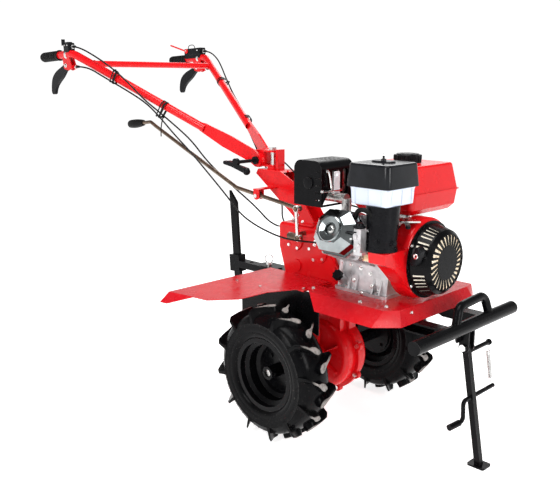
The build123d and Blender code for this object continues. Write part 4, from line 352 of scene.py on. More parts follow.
def cast_aluminium():
    """Sandy grey casting with a warm cast here and there."""
    f = Finish("cast_aluminium", (0.66, 0.65, 0.66), 0.36, 0.8)
    f.paint(f.ramp(f.noise(24, 6, rough=0.7), 0.38, 0.66, 0.0, 0.8), (0.36, 0.35, 0.36))
    f.paint(f.ramp(f.noise(11, 3), 0.55, 0.75, 0.0, 0.4), (0.80, 0.66, 0.68))
    f.rough(f.ramp(f.noise(60, 5), 0.3, 0.8, 0.26, 0.55))
    f.bump(f.noise(900, 4), 0.0007, 0.35)
    f.bump(f.noise(90, 3), 0.0012, 0.2)
    return f.done()


def polished_cover():
    """Polished steel, slightly wavy, with painted reflections: a dark colour and light and dark
    patches.
    """
    # Painted reflection: the dark base colour stands in for the dim room mirrored in the steel.
    f = Finish("polished_cover", (0.30, 0.325, 0.33), 0.12, 1.0)
    # Painted reflections: darker patches, then lighter highlight patches.
    f.paint(f.ramp(f.noise(13, 3), 0.4, 0.7, 0.0, 0.7), (0.11, 0.12, 0.125))
    f.paint(f.ramp(f.noise(40, 4), 0.6, 0.8, 0.0, 0.4), (0.6, 0.63, 0.63))
    f.rough(f.ramp(f.noise(120, 4), 0.3, 0.8, 0.07, 0.2))
    f.bump(f.noise(55, 2), 0.0009, 0.16)
    return f.done()


def bronze_steel():
    """Steel with a bronze-brown skin."""
    f = Finish("bronze_steel", (0.20, 0.145, 0.105), 0.3, 0.9)
    f.paint(f.ramp(f.noise(42, 5), 0.42, 0.7, 0.0, 0.8), (0.07, 0.05, 0.04))
    f.paint(f.ramp(f.noise(150, 3), 0.62, 0.75, 0.0, 0.6), (0.5, 0.42, 0.34))
    f.rough(f.ramp(f.noise(80, 4), 0.3, 0.8, 0.2, 0.45))
    f.bump(f.noise(500, 3), 0.0003, 0.2)
    return f.done()


def brass():
    """Brass, tarnished in patches."""
    f = Finish("bowl_brass", (0.62, 0.42, 0.26), 0.25, 1.0)
    f.paint(f.ramp(f.noise(60, 4), 0.45, 0.72, 0.0, 0.8), (0.85, 0.80, 0.72))
    f.rough(f.ramp(f.noise(90, 4), 0.3, 0.8, 0.15, 0.4))
    f.bump(f.noise(600, 2), 0.0003, 0.15)
    return f.done()


print("five metals")

# %% [markdown]
# ### Plastics and rubber
# Black plastics differ by gloss: the air cleaner's lid is the glossiest and the grips the
# dullest. Pale mouldings stand behind dark slots and would go grey, so they glow a little.


# %% Plastics and rubber
def black_plastic(name, colour, shine, grain=0.2, gloss=0.09):
    """Black moulding with a fine grain."""
    f = Finish(name, colour, shine)
    f.paint(f.ramp(f.noise(18, 4), 0.4, 0.75, 0.0, 0.6), tuple(2.2 * c for c in colour))
    scuffs = f.ramp(f.noise(90, 4), 0.4, 0.6, 0, 0.5)
    f.paint(f.math("MULTIPLY", f.edges(0.001), scuffs), (0.14, 0.14, 0.15))
    f.rough(f.ramp(f.noise(45, 4), 0.3, 0.8, shine * 0.75, shine * 1.4))
    f.bump(f.noise(1500, 2), 0.0003, grain)
    f.sheen(gloss)
    return f.done()


def glowing_fan_plastic():
    """Cream moulding that shows as bright bars through the dark slots, helped by painted light: it
    glows a little.
    """
    f = Finish("glowing_fan_plastic", (0.90, 0.84, 0.72), 0.4)
    f.paint(f.ramp(f.noise(30, 4), 0.45, 0.75, 0.0, 0.6), (0.66, 0.56, 0.46))
    f.rough(f.ramp(f.noise(60, 3), 0.3, 0.8, 0.3, 0.55))
    f.bump(f.noise(500, 3), 0.0004, 0.12)
    # Painted light: a faint glow keeps the cream bars bright behind the dark slots.
    f.glow((0.95, 0.86, 0.72), 0.42)
    return f.done()


def glowing_pale_enamel():
    """Pale heat-proof enamel of the shield beside the muffler; it glows a little as painted light.
    """
    f = Finish("glowing_pale_enamel", (0.88, 0.88, 0.90), 0.45)
    f.paint(f.ramp(f.noise(35, 4), 0.5, 0.8, 0.0, 0.5), (0.62, 0.60, 0.60))
    f.rough(f.ramp(f.noise(50, 3), 0.3, 0.8, 0.35, 0.6))
    f.bump(f.noise(400, 3), 0.0004, 0.15)
    # Painted light: a faint glow keeps the pale plate bright.
    f.glow((0.9, 0.9, 0.95), 0.25)
    return f.done()


def bowl_plastic():
    """Milky, slightly blue plastic that lets a little light through."""
    f = Finish("bowl_plastic", (0.66, 0.72, 0.84), 0.2)
    f.paint(f.ramp(f.noise(10, 3), 0.4, 0.7, 0.0, 0.5), (0.56, 0.63, 0.80))
    f.rough(f.ramp(f.noise(50, 3), 0.3, 0.8, 0.16, 0.32))
    f.bump(f.noise(300, 2), 0.0004, 0.08)
    f.shader.inputs["Subsurface Weight"].default_value = 0.25
    f.shader.inputs["Subsurface Radius"].default_value = (0.01, 0.01, 0.012)
    f.shader.inputs["Coat Weight"].default_value = 0.3
    return f.done()


def tyre_rubber():
    """Black rubber with greyed, scuffed lug tops."""
    f = Finish("tyre_rubber", (0.0025, 0.0025, 0.003), 0.2)
    split = f.tree.nodes.new("ShaderNodeSeparateXYZ")
    f.link(f.where, split.inputs["Vector"])
    side = f.math("SUBTRACT", split.outputs["X"], AXLE.x)
    rise = f.math("SUBTRACT", split.outputs["Z"], AXLE.z)
    square = f.math("ADD", f.math("POWER", side, 2), f.math("POWER", rise, 2))
    tips = f.ramp(f.math("SQRT", square, 0), 0.2035, 0.2062)
    dirt = f.ramp(f.noise(70, 6, rough=0.75), 0.33, 0.55, 0.25, 0.95)
    scuff = f.math("MULTIPLY", tips, dirt)
    f.paint(f.ramp(f.noise(16, 5), 0.48, 0.75, 0.0, 0.5), (0.009, 0.0088, 0.0085))
    f.paint(scuff, (0.30, 0.28, 0.265))
    f.paint(f.ramp(f.noise(150, 5), 0.64, 0.72, 0.0, 0.25), (0.12, 0.11, 0.10))
    f.sheen(0.05)
    dull = f.math("MULTIPLY", tips, 0.45)
    f.rough(f.math("ADD", f.ramp(f.noise(35, 4), 0.3, 0.8, 0.14, 0.3), dull))
    f.bump(f.noise(160, 4, rough=0.6), 0.0010, 0.14)
    return f.done()


print("plastics, enamel and rubber")

# %% Name the finishes
paints = {
    "red": red_paint(),
    "tray": tray_red(),
    "black": black_paint("black_paint", (0.003, 0.003, 0.0035), 0.24),
    "rim": black_paint("rim_black", (0.0025, 0.0025, 0.003), 0.2),
    "guard": black_paint("guard_black", (0.003, 0.003, 0.0035), 0.32),
    "zinc": zinc(),
    "steel": zinc("steel", (0.5, 0.49, 0.48), 0.32),
    "cast": cast_aluminium(),
    "polished": polished_cover(),
    "bronze": bronze_steel(),
    "brass": brass(),
    "plastic": black_plastic("black_plastic", (0.005, 0.005, 0.006), 0.27),
    "lid": black_plastic("lid_plastic", (0.007, 0.0075, 0.009), 0.16, 0.05, 0.22),
    "rubber": black_plastic("grip_rubber", (0.006, 0.006, 0.006), 0.45, 0.4),
    "sheath": black_plastic("cable_sheath", (0.005, 0.005, 0.005), 0.3, 0.1),
    "fan": glowing_fan_plastic(),
    "bowl": bowl_plastic(),
    "enamel": glowing_pale_enamel(),
    "tyre": tyre_rubber(),
}
print(len(paints), "finishes")

# %% [markdown]
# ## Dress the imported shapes
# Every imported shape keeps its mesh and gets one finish. The list is kept by finish, because one
# pot of paint covers many pieces.

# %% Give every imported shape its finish
dress = {
    "red": "gearbox_left gearbox_right transmission_case shroud fuel_tank column swing_head "
    "handlebar control_lever fender_stays",
    "tray": "tray fender_left fender_right",
    "black": "frame bumper stand_leg stand_pedal hitch_bracket drawbar drag_bar hub_left "
    "hub_right starter_cover",
    "rim": "rim_left rim_right wheel_bolts",
    "guard": "muffler_guard",
    "zinc": "body_bolts hitch_pin control_bracket stand_spring shift_link",
    "steel": "axle_shaft muffler",
    "cast": "crankcase cylinder_head carburettor",
    "fan": "flywheel_fan",
    "polished": "head_cover",
    "bronze": "shift_lever selector_arm",
    "plastic": "oil_plug starter_handle fuel_cap speed_lever intake_duct clutch_lever_left "
    "clutch_lever_right control_boxes throttle_lever clamp_lever",
    "lid": "air_lid",
    "rubber": "grips shift_knob",
    "sheath": "throttle_cable clutch_cables control_cable",
    "bowl": "air_bowl",
    "tyre": "tyre_left tyre_right",
}
for finish, names in dress.items():
    for name in names.split():
        shape = nodes[name]
        shape.data.materials.clear()
        shape.data.materials.append(paints[finish])
left_out = set(nodes) - set(" ".join(dress.values()).split())
print("without a finish:", sorted(left_out))

# %% [markdown]
# ## Small pieces
# The pieces below are too fine or too flexible for the solid model: cables from the handle,
# ties, a coil spring, springs and hoses round the engine. They are placed in millimetres
# ahead of the axle, left of the middle and above the floor. Meshes are built point by point,
# since a turned profile or a swept circle then has just the faces it needs.

# %% Piece helpers
MM = 0.001


def at(x, y, z):
    """A point in millimetres: ahead of the axle, left of the middle, above the floor."""
    return Vector((AXLE.x + x * MM, y * MM, z * MM))


def piece(name, mesh, finish, body=None, smooth=True):
    """Link a mesh as a named piece, give it a finish and let it ride on a body."""
    made = bpy.data.meshes.new(name)
    mesh.normal_update()
    bmesh.ops.recalc_face_normals(mesh, faces=mesh.faces)
    mesh.to_mesh(made)
    mesh.free()
    made.materials.append(paints[finish])
    item = bpy.data.objects.new(name, made)
    bpy.context.scene.collection.objects.link(item)
    if smooth:
        made.shade_smooth()
        made.set_sharp_from_angle(angle=math.radians(35))
    if body:
        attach(item, body)
    return item


def basis(direction):
    """Two directions across the given one."""
    along = Vector(direction).normalized()
    start = Vector((0, 0, 1)) if abs(along.z) < 0.9 else Vector((1, 0, 0))
    across = start.cross(along).normalized()
    return along, across, along.cross(across)


def lathe(mesh, seat, direction, profile, sides=24, turn=0.0, hollow=False):
    """Turn a profile of (radius, height) in millimetres about a line.

    The ends are closed by discs, or for a hollow ring the last row is joined to the first."""
    along, across, up = basis(direction)
    rings = []
    for radius, height in profile:
        ring = []
        for step in range(sides):
            angle = 2 * math.pi * step / sides + turn
            out = across * math.cos(angle) + up * math.sin(angle)
            ring.append(mesh.verts.new(Vector(seat) + along * height * MM + out * radius * MM))
        rings.append(ring)
    for low, high in zip(rings, rings[1:] + rings[:1] if hollow else rings[1:]):
        for step in range(sides):
            mesh.faces.new((low[step], low[step - 1], high[step - 1], high[step]))
    if not hollow:
        mesh.faces.new(rings[0])
        mesh.faces.new(rings[-1])


def tube(mesh, points, radius, sides=10, taper=None):
    """A round tube along a row of points, its section carried along without twist."""
    along, across, up = basis(points[1] - points[0])
    rings = []
    for index, point in enumerate(points):
        before = points[max(index - 1, 0)]
        after = points[min(index + 1, len(points) - 1)]
        ahead = (after - before).normalized()
        across = (across - ahead * across.dot(ahead)).normalized()
        up = ahead.cross(across)
        size = radius * MM * (taper(index / (len(points) - 1)) if taper else 1)
        turns = [2 * math.pi * step / sides for step in range(sides)]
        outs = [across * math.cos(turn) + up * math.sin(turn) for turn in turns]
        rings.append([mesh.verts.new(point + out * size) for out in outs])
    for low, high in zip(rings, rings[1:]):
        for step in range(sides):
            mesh.faces.new((low[step], low[step - 1], high[step - 1], high[step]))
    mesh.faces.new(rings[0])
    mesh.faces.new(rings[-1])


def smooth_route(name, points, steps=6):
    """Points along the smooth curve that a row of control points pulls."""
    curve = bpy.data.curves.new(name, "CURVE")
    curve.dimensions = "3D"
    curve.resolution_u = steps
    spline = curve.splines.new("NURBS")
    spline.points.add(len(points) - 1)
    for slot, point in zip(spline.points, points):
        slot.co = (*point, 1)
    spline.order_u = 3
    spline.use_endpoint_u = True
    item = bpy.data.objects.new(name, curve)
    mesh = bpy.data.meshes.new_from_object(item)
    line = [vertex.co.copy() for vertex in mesh.vertices]
    bpy.data.objects.remove(item)
    bpy.data.meshes.remove(mesh)
    return line


def bolt(mesh, seat, direction, size=5.5, washer=True, point=0.0):
    """Hexagon head on a washer, with a chamfered top and, if asked, a thread end beyond it."""
    if washer:
        disc = [(size * 1.35, 0), (size * 1.4, 0.4), (size * 1.35, 1.2), (size, 1.3)]
        lathe(mesh, seat, direction, disc)
    foot = Vector(seat) + Vector(direction).normalized() * (1.2 if washer else 0) * MM
    head = [(size, 0), (size, 3.2), (size * 0.86, 4.0), (size * 0.3, 4.1)]
    lathe(mesh, foot, direction, head, 6, 0.4)
    if point:
        thread = [(size * 0.5, 0), (size * 0.5, point), (size * 0.38, point + 1)]
        lathe(mesh, foot, direction, thread, 12)


def spring(mesh, start, end, radius, wire, turns, hook=0.0):
    """A wound spring between two points, with straight hook ends if asked."""
    along, across, up = basis(Vector(end) - Vector(start))
    length = (Vector(end) - Vector(start)).length
    points = [Vector(start)] if hook else []
    count = turns * 12
    for step in range(count + 1):
        angle = 2 * math.pi * step / 12
        height = hook * MM + (length - 2 * hook * MM) * step / count
        out = across * math.cos(angle) + up * math.sin(angle)
        points.append(Vector(start) + along * height + out * radius * MM)
    if hook:
        points.append(Vector(end))
    tube(mesh, points, wire, 6)


print("piece helpers ready")

# %% [markdown]
# ### Cables
# Each cable leaves a lever on the handle, hangs past the swing head and enters the machine.
# It is cut at the head into two halves: the upper half runs from handle to head, the lower
# half from head to machine.

# %% Cable routes
CABLE_RADIUS = 2.8
cable_routes = {
    "throttle_line": (
        "throttle_cable",
        [
            (-984, -303, 1181),
            (-944, -303, 1181),
            (-862, -274, 1140),
            (-790, -247, 1092),
            (-723, -230, 1040),
            (-685, -213, 1000),
            (-647, -176, 956),
            (-604, -130, 901),
            (-568, -98, 856),
            (-515, -80, 793),
            (-437, -75, 743),
            (-372, -68, 702),
            (-295, -50, 650),
            (-246, -22, 590),
            (-196, -22, 590),
        ],
        (5, 8, 12),
    ),
    "near_clutch_line": (
        "clutch_cables",
        [
            (-966, -303, 1111),
            (-926, -303, 1111),
            (-886, -290, 1102),
            (-843, -270, 1076),
            (-762, -236, 1033),
            (-687, -206, 990),
            (-643, -186, 948),
            (-573, -172, 884),
            (-500, -158, 826),
            (-425, -142, 756),
            (-352, -128, 688),
            (-290, -124, 634),
            (-210, -124, 604),
            (-101, -131, 586),
            (-28, -138, 588),
            (24, -140, 592),
            (60, -124, 592),
            (60, -84, 592),
        ],
        (5, 8, 12),
    ),
    "far_clutch_line": (
        "clutch_cables",
        [
            (-966, 303, 1111),
            (-926, 303, 1111),
            (-886, 290, 1102),
            (-843, 270, 1076),
            (-762, 236, 1033),
            (-687, 206, 990),
            (-643, 186, 948),
            (-560, 156, 898),
            (-492, 126, 846),
            (-420, 98, 786),
            (-352, 84, 728),
            (-290, 72, 664),
            (-236, 14, 590),
            (-196, 14, 590),
        ],
        (5, 8, 11),
    ),
    "control_line": (
        "control_cable",
        [
            (-988, 305, 1182),
            (-948, 305, 1182),
            (-900, 306, 1154),
            (-858, 294, 1118),
            (-812, 272, 1082),
            (-760, 244, 1052),
            (-700, 214, 1013),
            (-620, 180, 966),
            (-540, 146, 920),
            (-480, 112, 872),
            (-395, 80, 824),
            (-339, 68, 808),
            (-290, 60, 800),
            (-240, 34, 795),
            (-190, 8, 783),
            (-142, -14, 768),
            (-84, -24, 746),
            (-26, -22, 722),
            (30, -8, 704),
            (80, 12, 686),
            (120, 12, 686),
        ],
        (6, 12, 16),
    ),
}
print(len(cable_routes), "routes")

# %% [markdown]
# A route's three numbers are the stops where the cable leaves the handle, where it is cut and
# where it has settled on the machine. A rubber ferrule and a zinc adjuster sit at its lever end
# and a gland at its machine end.

# %% Draw the cables
lines = {}
for name, (node, route, (leave, cut, settle)) in cable_routes.items():
    stops = [at(*stop) for stop in route]
    line = smooth_route(name, stops, 8)
    lines[name] = line
    split = min(range(len(line)), key=lambda index: (line[index] - stops[cut]).length)
    upper, lower = bmesh.new(), bmesh.new()
    tube(upper, line[: split + 1], CABLE_RADIUS)
    tube(lower, line[split:], CABLE_RADIUS)
    upper = piece(name + "_upper", upper, "sheath")
    lower = piece(name + "_lower", lower, "sheath")
    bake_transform(upper)
    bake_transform(lower)
    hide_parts(node)
    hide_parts(node)
    ferrule, adjuster = bmesh.new(), bmesh.new()
    ahead = (stops[1] - stops[0]).normalized()
    boot = [(3.0, 0), (4.4, 1), (4.4, 15), (3.3, 18)]
    lathe(ferrule, stops[0] + ahead * 0.006, ahead, boot, 16)
    piece(name + "_ferrule", ferrule, "rubber", "handle")
    lathe(adjuster, stops[0] + ahead * 0.001, ahead, [(5, 0), (7.6, 0.4), (7.6, 4), (5, 4.4)], 6)
    piece(name + "_adjuster", adjuster, "zinc", "handle")
    entry = stops[-2] - stops[-1]
    gland = bmesh.new()
    lathe(gland, stops[-1], entry, [(6.4, 0), (6.4, 5), (4.6, 6), (4.6, 14), (3.4, 17)], 16)
    piece(name + "_gland", gland, "zinc", "machine")
print(len(lines), "cables")

# %% [markdown]
# ### Ties
# Ties hold the cables against the arms. A tie is two flat bands drawn tight round the arm's tube
# and the cables beside it, with a square head and a cut tail. The tight outline is a convex
# hull, which is how a real band lies round two tubes.


# %% Ties
ARM_LOW = (-328, 44, 818)
ARM_HIGH = (-973, 306, 1157)
ARM_RADIUS = 16


def band(mesh, middle, direction, rounds, width):
    """A flat band drawn tight round some circles that lie across a direction."""
    along, across, up = basis(direction)
    spots = []
    for centre, radius in rounds:
        offset = centre - middle
        right, rise = offset.dot(across), offset.dot(up)
        for step in range(24):
            angle = 2 * math.pi * step / 24
            x, y = right + radius * math.cos(angle), rise + radius * math.sin(angle)
            spots.append(Vector((x, y)))
    from_hull = [spots[index] for index in geometry.convex_hull_2d(spots)]
    heart = sum(from_hull, Vector((0, 0))) / len(from_hull)
    loops = []
    half = width / 2
    for shift, grow in ((-half, -0.4), (-half, 1.9), (half, 1.9), (half, -0.4)):
        loop = []
        for spot in from_hull:
            place = spot + (spot - heart).normalized() * grow * MM
            corner = middle + across * place.x + up * place.y + along * shift * MM
            loop.append(mesh.verts.new(corner))
        loops.append(loop)
    for low, high in zip(loops, loops[1:] + loops[:1]):
        for step in range(len(low)):
            mesh.faces.new((low[step], low[step - 1], high[step - 1], high[step]))
    return along


def tie(name, side, share, cable_names, tail):
    """Tie one or two cables to an arm, at a share of its length from the foot."""
    low = at(ARM_LOW[0], side * ARM_LOW[1], ARM_LOW[2])
    high = at(ARM_HIGH[0], side * ARM_HIGH[1], ARM_HIGH[2])
    direction = (high - low).normalized()
    middle = low + (high - low) * share
    rounds = [(middle, ARM_RADIUS * MM)]
    for cable_name in cable_names:
        line = lines[cable_name]
        crossing = min(line, key=lambda point: abs((point - middle).dot(direction)))
        rounds.append((crossing, 3.2 * MM))
    mesh = bmesh.new()
    band(mesh, middle + direction * 0.012, direction, rounds, 4.0)
    along = band(mesh, middle, direction, rounds, 7.5)
    head = rounds[-1][0]
    out = (head - middle) - along * (head - middle).dot(along)
    out.normalize()
    lathe(mesh, head + out * 0.003, out, [(3.4, 0), (3.8, 1), (3.8, 4), (3.0, 5)], 4, math.pi / 4)
    ends = [head + out * 0.005 + Vector(step) * MM for step in tail]
    strip = smooth_route(name + "_strip", ends, 5)
    tube(mesh, strip, 2.2, 6)
    piece(name, mesh, "rubber", "handle")


near_pair = ["near_clutch_line", "throttle_line"]
far_pair = ["far_clutch_line", "control_line"]
long_tail = [(0, 0, 0), (3, -3, 2), (4, -8, -8), (0, -10, -26), (-7, -8, -48), (-12, -4, -66)]
tie("tie_near", -1, 0.46, near_pair, long_tail)
tie("tie_near_high", -1, 0.74, near_pair, [(0, 0, 0), (2, -4, 2), (4, -10, -4)])
tie("tie_far_high", 1, 0.70, far_pair, [(0, 0, 0), (-4, -6, 2), (-10, -12, -3)])
side_tail = [(0, 0, 0), (4, -5, 0), (12, -12, -8), (20, -20, -12)]
tie("tie_far_low", 1, 0.30, ["control_line"], side_tail)
print("four ties")

# %% [markdown]
# ### Handlebar fittings
# The cross bar is welded to both arms, so each end gets a rippled bead. The clutch levers turn on
# bright bolts, and a bent wire keeps branches off the far control box.


# %% Handlebar fittings
def weld(mesh, centre, direction, radius, thick=1.8):
    """A rippled ring of weld round a tube."""
    along, across, up = basis(direction)
    points = []
    for step in range(73):
        angle = 2 * math.pi * step / 72
        ripple = radius + 0.5 * math.sin(angle * 22)
        points.append(centre + (across * math.cos(angle) + up * math.sin(angle)) * ripple * MM)
    tube(mesh, points, thick, 6)


CROSS_BAR = 905
GRIP_Y = 303
PIVOT_X, PIVOT_Z = -1018, 1116
BOX_SCREW_Z = 1186
HOOP_Y = 305
cross_share = (CROSS_BAR + ARM_LOW[0]) / (ARM_LOW[0] - ARM_HIGH[0])
cross_y = ARM_LOW[1] + (ARM_HIGH[1] - ARM_LOW[1]) * cross_share
cross_z = ARM_LOW[2] + (ARM_HIGH[2] - ARM_LOW[2]) * cross_share
beads = bmesh.new()
for side in (1, -1):
    weld(beads, at(-CROSS_BAR, side * (cross_y - 15), cross_z), (0, 1, 0), 11.4)
piece("handle_welds", beads, "red", "handle")
for side, word in ((1, "left"), (-1, "right")):
    fixings = bmesh.new()
    bolt(fixings, at(PIVOT_X, side * GRIP_Y + 11, PIVOT_Z), (0, 1, 0), 5.5, point=6)
    bolt(fixings, at(PIVOT_X, side * GRIP_Y - 11, PIVOT_Z), (0, -1, 0), 5.5)
    piece(f"lever_bolt_{word}", fixings, "zinc", "handle")
    clamp = bmesh.new()
    collar = [(14.4, 0), (17, 0.4), (17, 11), (14.4, 11.4)]
    lathe(clamp, at(-1004, side * 305, 1154), (-1, 0, 0.04), collar, 32)
    piece(f"clamp_ring_{word}", clamp, "zinc", "handle")
    inner = bmesh.new()
    pull = [at(x, side * GRIP_Y, z) for x, z in ((-1042, 1098), (-1010, 1108), (-980, 1111))]
    tube(inner, smooth_route("inner", pull, 4), 1.0, 8)
    piece(f"clutch_wire_{word}", inner, "zinc", "handle")
screws = bmesh.new()
for x in (-1076, -1000):
    bolt(screws, at(x, 285.5, BOX_SCREW_Z), (0, -1, 0), 3.2, washer=False)
for x in (-1010, -992):
    bolt(screws, at(x, -GRIP_Y - 13.4, BOX_SCREW_Z), (0, -1, 0), 2.8, washer=False)
piece("box_screws", screws, "zinc", "handle")
hoop = bmesh.new()
bends = ((-1084, 1192), (-1086, 1204), (-1066, 1211), (-1042, 1207), (-1040, 1192))
hoop_stops = [at(x, HOOP_Y, z) for x, z in bends]
tube(hoop, smooth_route("hoop", hoop_stops, 8), 1.6, 8)
piece("guard_wire", hoop, "rubber", "handle")
print("handlebar fittings")

# %% [markdown]
# ### Stand spring
# A close-wound tension spring hangs between the bracket's rod and the leg's rod and stretches
# as the leg folds. The wound wire is a real sweep.

# %% Stand spring
spring_low, spring_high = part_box("stand_spring")
spring_top = Vector((AXLE.x + 0.490, (spring_low.y + spring_high.y) / 2, spring_high.z - 0.002))
spring_foot = Vector((spring_high.x - 0.0066, spring_top.y, spring_low.z + 0.002))
coil = bmesh.new()
spring(coil, spring_top, spring_foot, 5.2, 1.3, 26, hook=16)
coil = piece("stand_coil", coil, "zinc")
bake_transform(coil)
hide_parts("stand_spring")
print("stand spring", round((spring_top - spring_foot).length, 3), "m long")

# %% [markdown]
# ### Engine fittings
# The cylinder leans to the right, so its cover faces down the side of the machine. A dished ring
# and one bolt hold the cover. Both are turned round the cylinder's own axis.

# %% Cover ring and bolt
LEAN = math.radians(22)
CYLINDER = Vector((0, -math.cos(LEAN), math.sin(LEAN)))
CRANK_Z = 572
COVER_REACH = 0.266
cover_face = at(205, 0, CRANK_Z) + CYLINDER * COVER_REACH
cover = bmesh.new()
dish = [(17, -1.2), (20, 0.4), (26, 2.0), (31, 4.6), (33.5, 5.2), (36, 3.6), (37, 0.2), (37, -1)]
lathe(cover, cover_face, CYLINDER, dish, 56, hollow=True)
piece("cover_ring", cover, "polished", "machine")
cover_bolt = bmesh.new()
bolt(cover_bolt, cover_face - CYLINDER * 0.006, CYLINDER, 8.5)
piece("cover_bolt", cover_bolt, "zinc", "machine")
print("cover bolt at", [round(v, 3) for v in cover_face])

# %% [markdown]
# The carburettor hangs under the air cleaner. A brass sleeve closes its float bowl, a bent wire
# works the choke, and a light spring and rod run back to the governor.

# %% Carburettor fittings
bowl_ring = bmesh.new()
sleeve = [(19, 0), (21.6, 1), (21.9, 3), (21.9, 19), (21.4, 20)]
lathe(bowl_ring, at(284, -172, 585.5), (0, 0, 1), sleeve, 40)
piece("bowl_sleeve", bowl_ring, "brass", "machine")
choke = bmesh.new()
wire = [at(262, -216, 668), at(262, -250, 672), at(276, -256, 676), at(300, -252, 676)]
tube(choke, smooth_route("choke", wire, 6), 2.2)
cap = [(15, 0), (16, 1), (16, 5), (11, 8), (9, 14), (3, 15)]
lathe(choke, at(281, -216, 680), (0, 0, 1), cap, 28)
piece("choke_cap", choke, "plastic", "machine")
jets = bmesh.new()
for x, y, z in ((296, -236, 640), (270, -234, 652), (284, -234, 622)):
    bolt(jets, at(x, y, z), (0, -1, 0), 3.6, washer=False)
spring(jets, at(297, -214, 672), at(318, -120, 678), 3.2, 0.7, 14, hook=8)
tube(jets, [at(262, -214, 670), at(300, -140, 676), at(322, -90, 676)], 1.3, 8)
piece("carburettor_fittings", jets, "zinc", "machine")
print("carburettor fittings")

# %% [markdown]
# Three soft lines are held at both ends on the engine, so they ride with it and need no blend:
# the breather hose, the fuel hose and the plug lead.

# %% Hoses and plug lead
hoses = {
    "breather_hose": (
        [(252, -196, 702), (262, -206, 722), (284, -206, 730), (302, -200, 722), (306, -196, 712)],
        (6.5, 14),
    ),
    "fuel_hose": (
        [
            (296, 6, 690),
            (300, -6, 676),
            (306, -50, 668),
            (306, -96, 662),
            (292, -130, 630),
            (288, -150, 612),
        ],
        (3.6, 12),
    ),
    "plug_lead": (
        [(262, -160, 668), (278, -176, 700), (280, -120, 716), (276, -60, 690), (290, -30, 676)],
        (3.4, 12),
    ),
}
for name, (stops, (radius, sides)) in hoses.items():
    hose = bmesh.new()
    tube(hose, smooth_route(name, [at(*stop) for stop in stops], 8), radius, sides)
    piece(name, hose, "rubber", "machine")
print(len(hoses), "hoses")

# %% [markdown]
# ### Air cleaner and tank trim
# A threaded stud stands out of the air cleaner's lid, and the fuel cap has ribs round its edge
# to turn it by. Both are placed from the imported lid's and cap's own boxes, so they stay seated.

# %% Air cleaner and tank trim
lid_low, lid_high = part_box("air_lid")
lid_middle = (lid_low + lid_high) / 2
stud = bmesh.new()
stud_foot = Vector((lid_middle.x, lid_middle.y, lid_high.z - 0.004))
lathe(stud, stud_foot, (0, 0, 1), [(2.4, 0), (2.4, 9), (1.8, 10)], 12)
piece("lid_stud", stud, "zinc", "air_cover")
cap_low, cap_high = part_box("fuel_cap")
cap_middle = (cap_low + cap_high) / 2
ribs = bmesh.new()
cap_radius = (cap_high.x - cap_low.x) / 2 / MM
CAP_RIBS = 18
for step in range(CAP_RIBS):
    angle = 2 * math.pi * step / CAP_RIBS
    out = Vector((math.cos(angle), math.sin(angle), 0))
    foot = Vector((cap_middle.x, cap_middle.y, cap_low.z + 0.008))
    spot = foot + out * (cap_radius - 0.6) * MM
    tube(ribs, [spot, spot + Vector((0, 0, 0.004)), spot + Vector((0, 0, 0.013))], 1.5, 8)
cap_top = Vector((cap_middle.x, cap_middle.y, cap_high.z - 0.0005))
lathe(ribs, cap_top, (0, 0, 1), [(22, 0), (21, 1.6), (9, 2.2)], 40)
piece("cap_trim", ribs, "plastic", "tank_cap")
print("cap radius", round(cap_radius, 1))

# %% [markdown]
# ### Cream fan behind the slots
# On the real starter the pale fan stands close behind the slotted cover, so the slots read as
# bright bars; its finish also glows a little, painted light that keeps the bars bright. Its
# vanes turn with the crankshaft; a pale sleeve of the same glowing finish lines the slotted
# flank. Each vane is a slim leaning box, which is all that shows through a slot.

# %% Fan face and flank liner
VANES = 36
VANE_CORNERS = ((42, -3, 408), (74, 3, 408), (73, 3, 416), (43, -3, 416))
BOX_FACES = ((0, 2, 4, 6), (1, 7, 5, 3), (0, 1, 3, 2), (2, 3, 5, 4), (4, 5, 7, 6), (6, 7, 1, 0))
vanes = bmesh.new()
base = [(40, 0), (74, 0), (76, 2), (76, 5), (40, 5)]
lathe(vanes, at(403.5, 0, CRANK_Z), (1, 0, 0), base, 72, hollow=True)
for step in range(VANES):
    angle = 2 * math.pi * step / VANES
    out = Vector((0, math.cos(angle), math.sin(angle)))
    side = Vector((0, -math.sin(angle), math.cos(angle)))
    corners = []
    for reach, lean, ahead in VANE_CORNERS:
        for thick in (-0.9, 0.9):
            offset = out * reach + side * (lean + thick)
            corners.append(vanes.verts.new(at(ahead, 0, CRANK_Z) + offset * MM))
    for quad in BOX_FACES:
        vanes.faces.new([corners[index] for index in quad])
piece("fan_vanes", vanes, "fan", "fan", smooth=False)
liner = bmesh.new()
sleeve = [(95, 0), (98.9, 0), (98.4, 1.4), (97, 1.6), (85.5, 36), (83.5, 36)]
lathe(liner, at(374, 0, CRANK_Z), (1, 0, 0), sleeve, 96, hollow=True)
piece("starter_liner", liner, "fan", "machine")
print(VANES, "vanes")

# %% [markdown]
# ### Air cleaner lid and bowl
# Both are mouldings with rounded corners, so each is drawn as a stack of rounded outlines. The
# inside is a second stack, because the lid lifts off and shows it.


# %% Rounded mouldings
def rounded_outline(half_x, half_y, corner, steps=7):
    """Points round a rectangle whose corners are quarter circles."""
    points = []
    for turn, (sign_x, sign_y) in enumerate(((1, 1), (-1, 1), (-1, -1), (1, -1))):
        for step in range(steps + 1):
            angle = math.pi / 2 * (turn + step / steps)
            x = sign_x * (half_x - corner) + corner * math.cos(angle)
            y = sign_y * (half_y - corner) + corner * math.sin(angle)
            points.append(Vector((x, y, 0)))
    return points


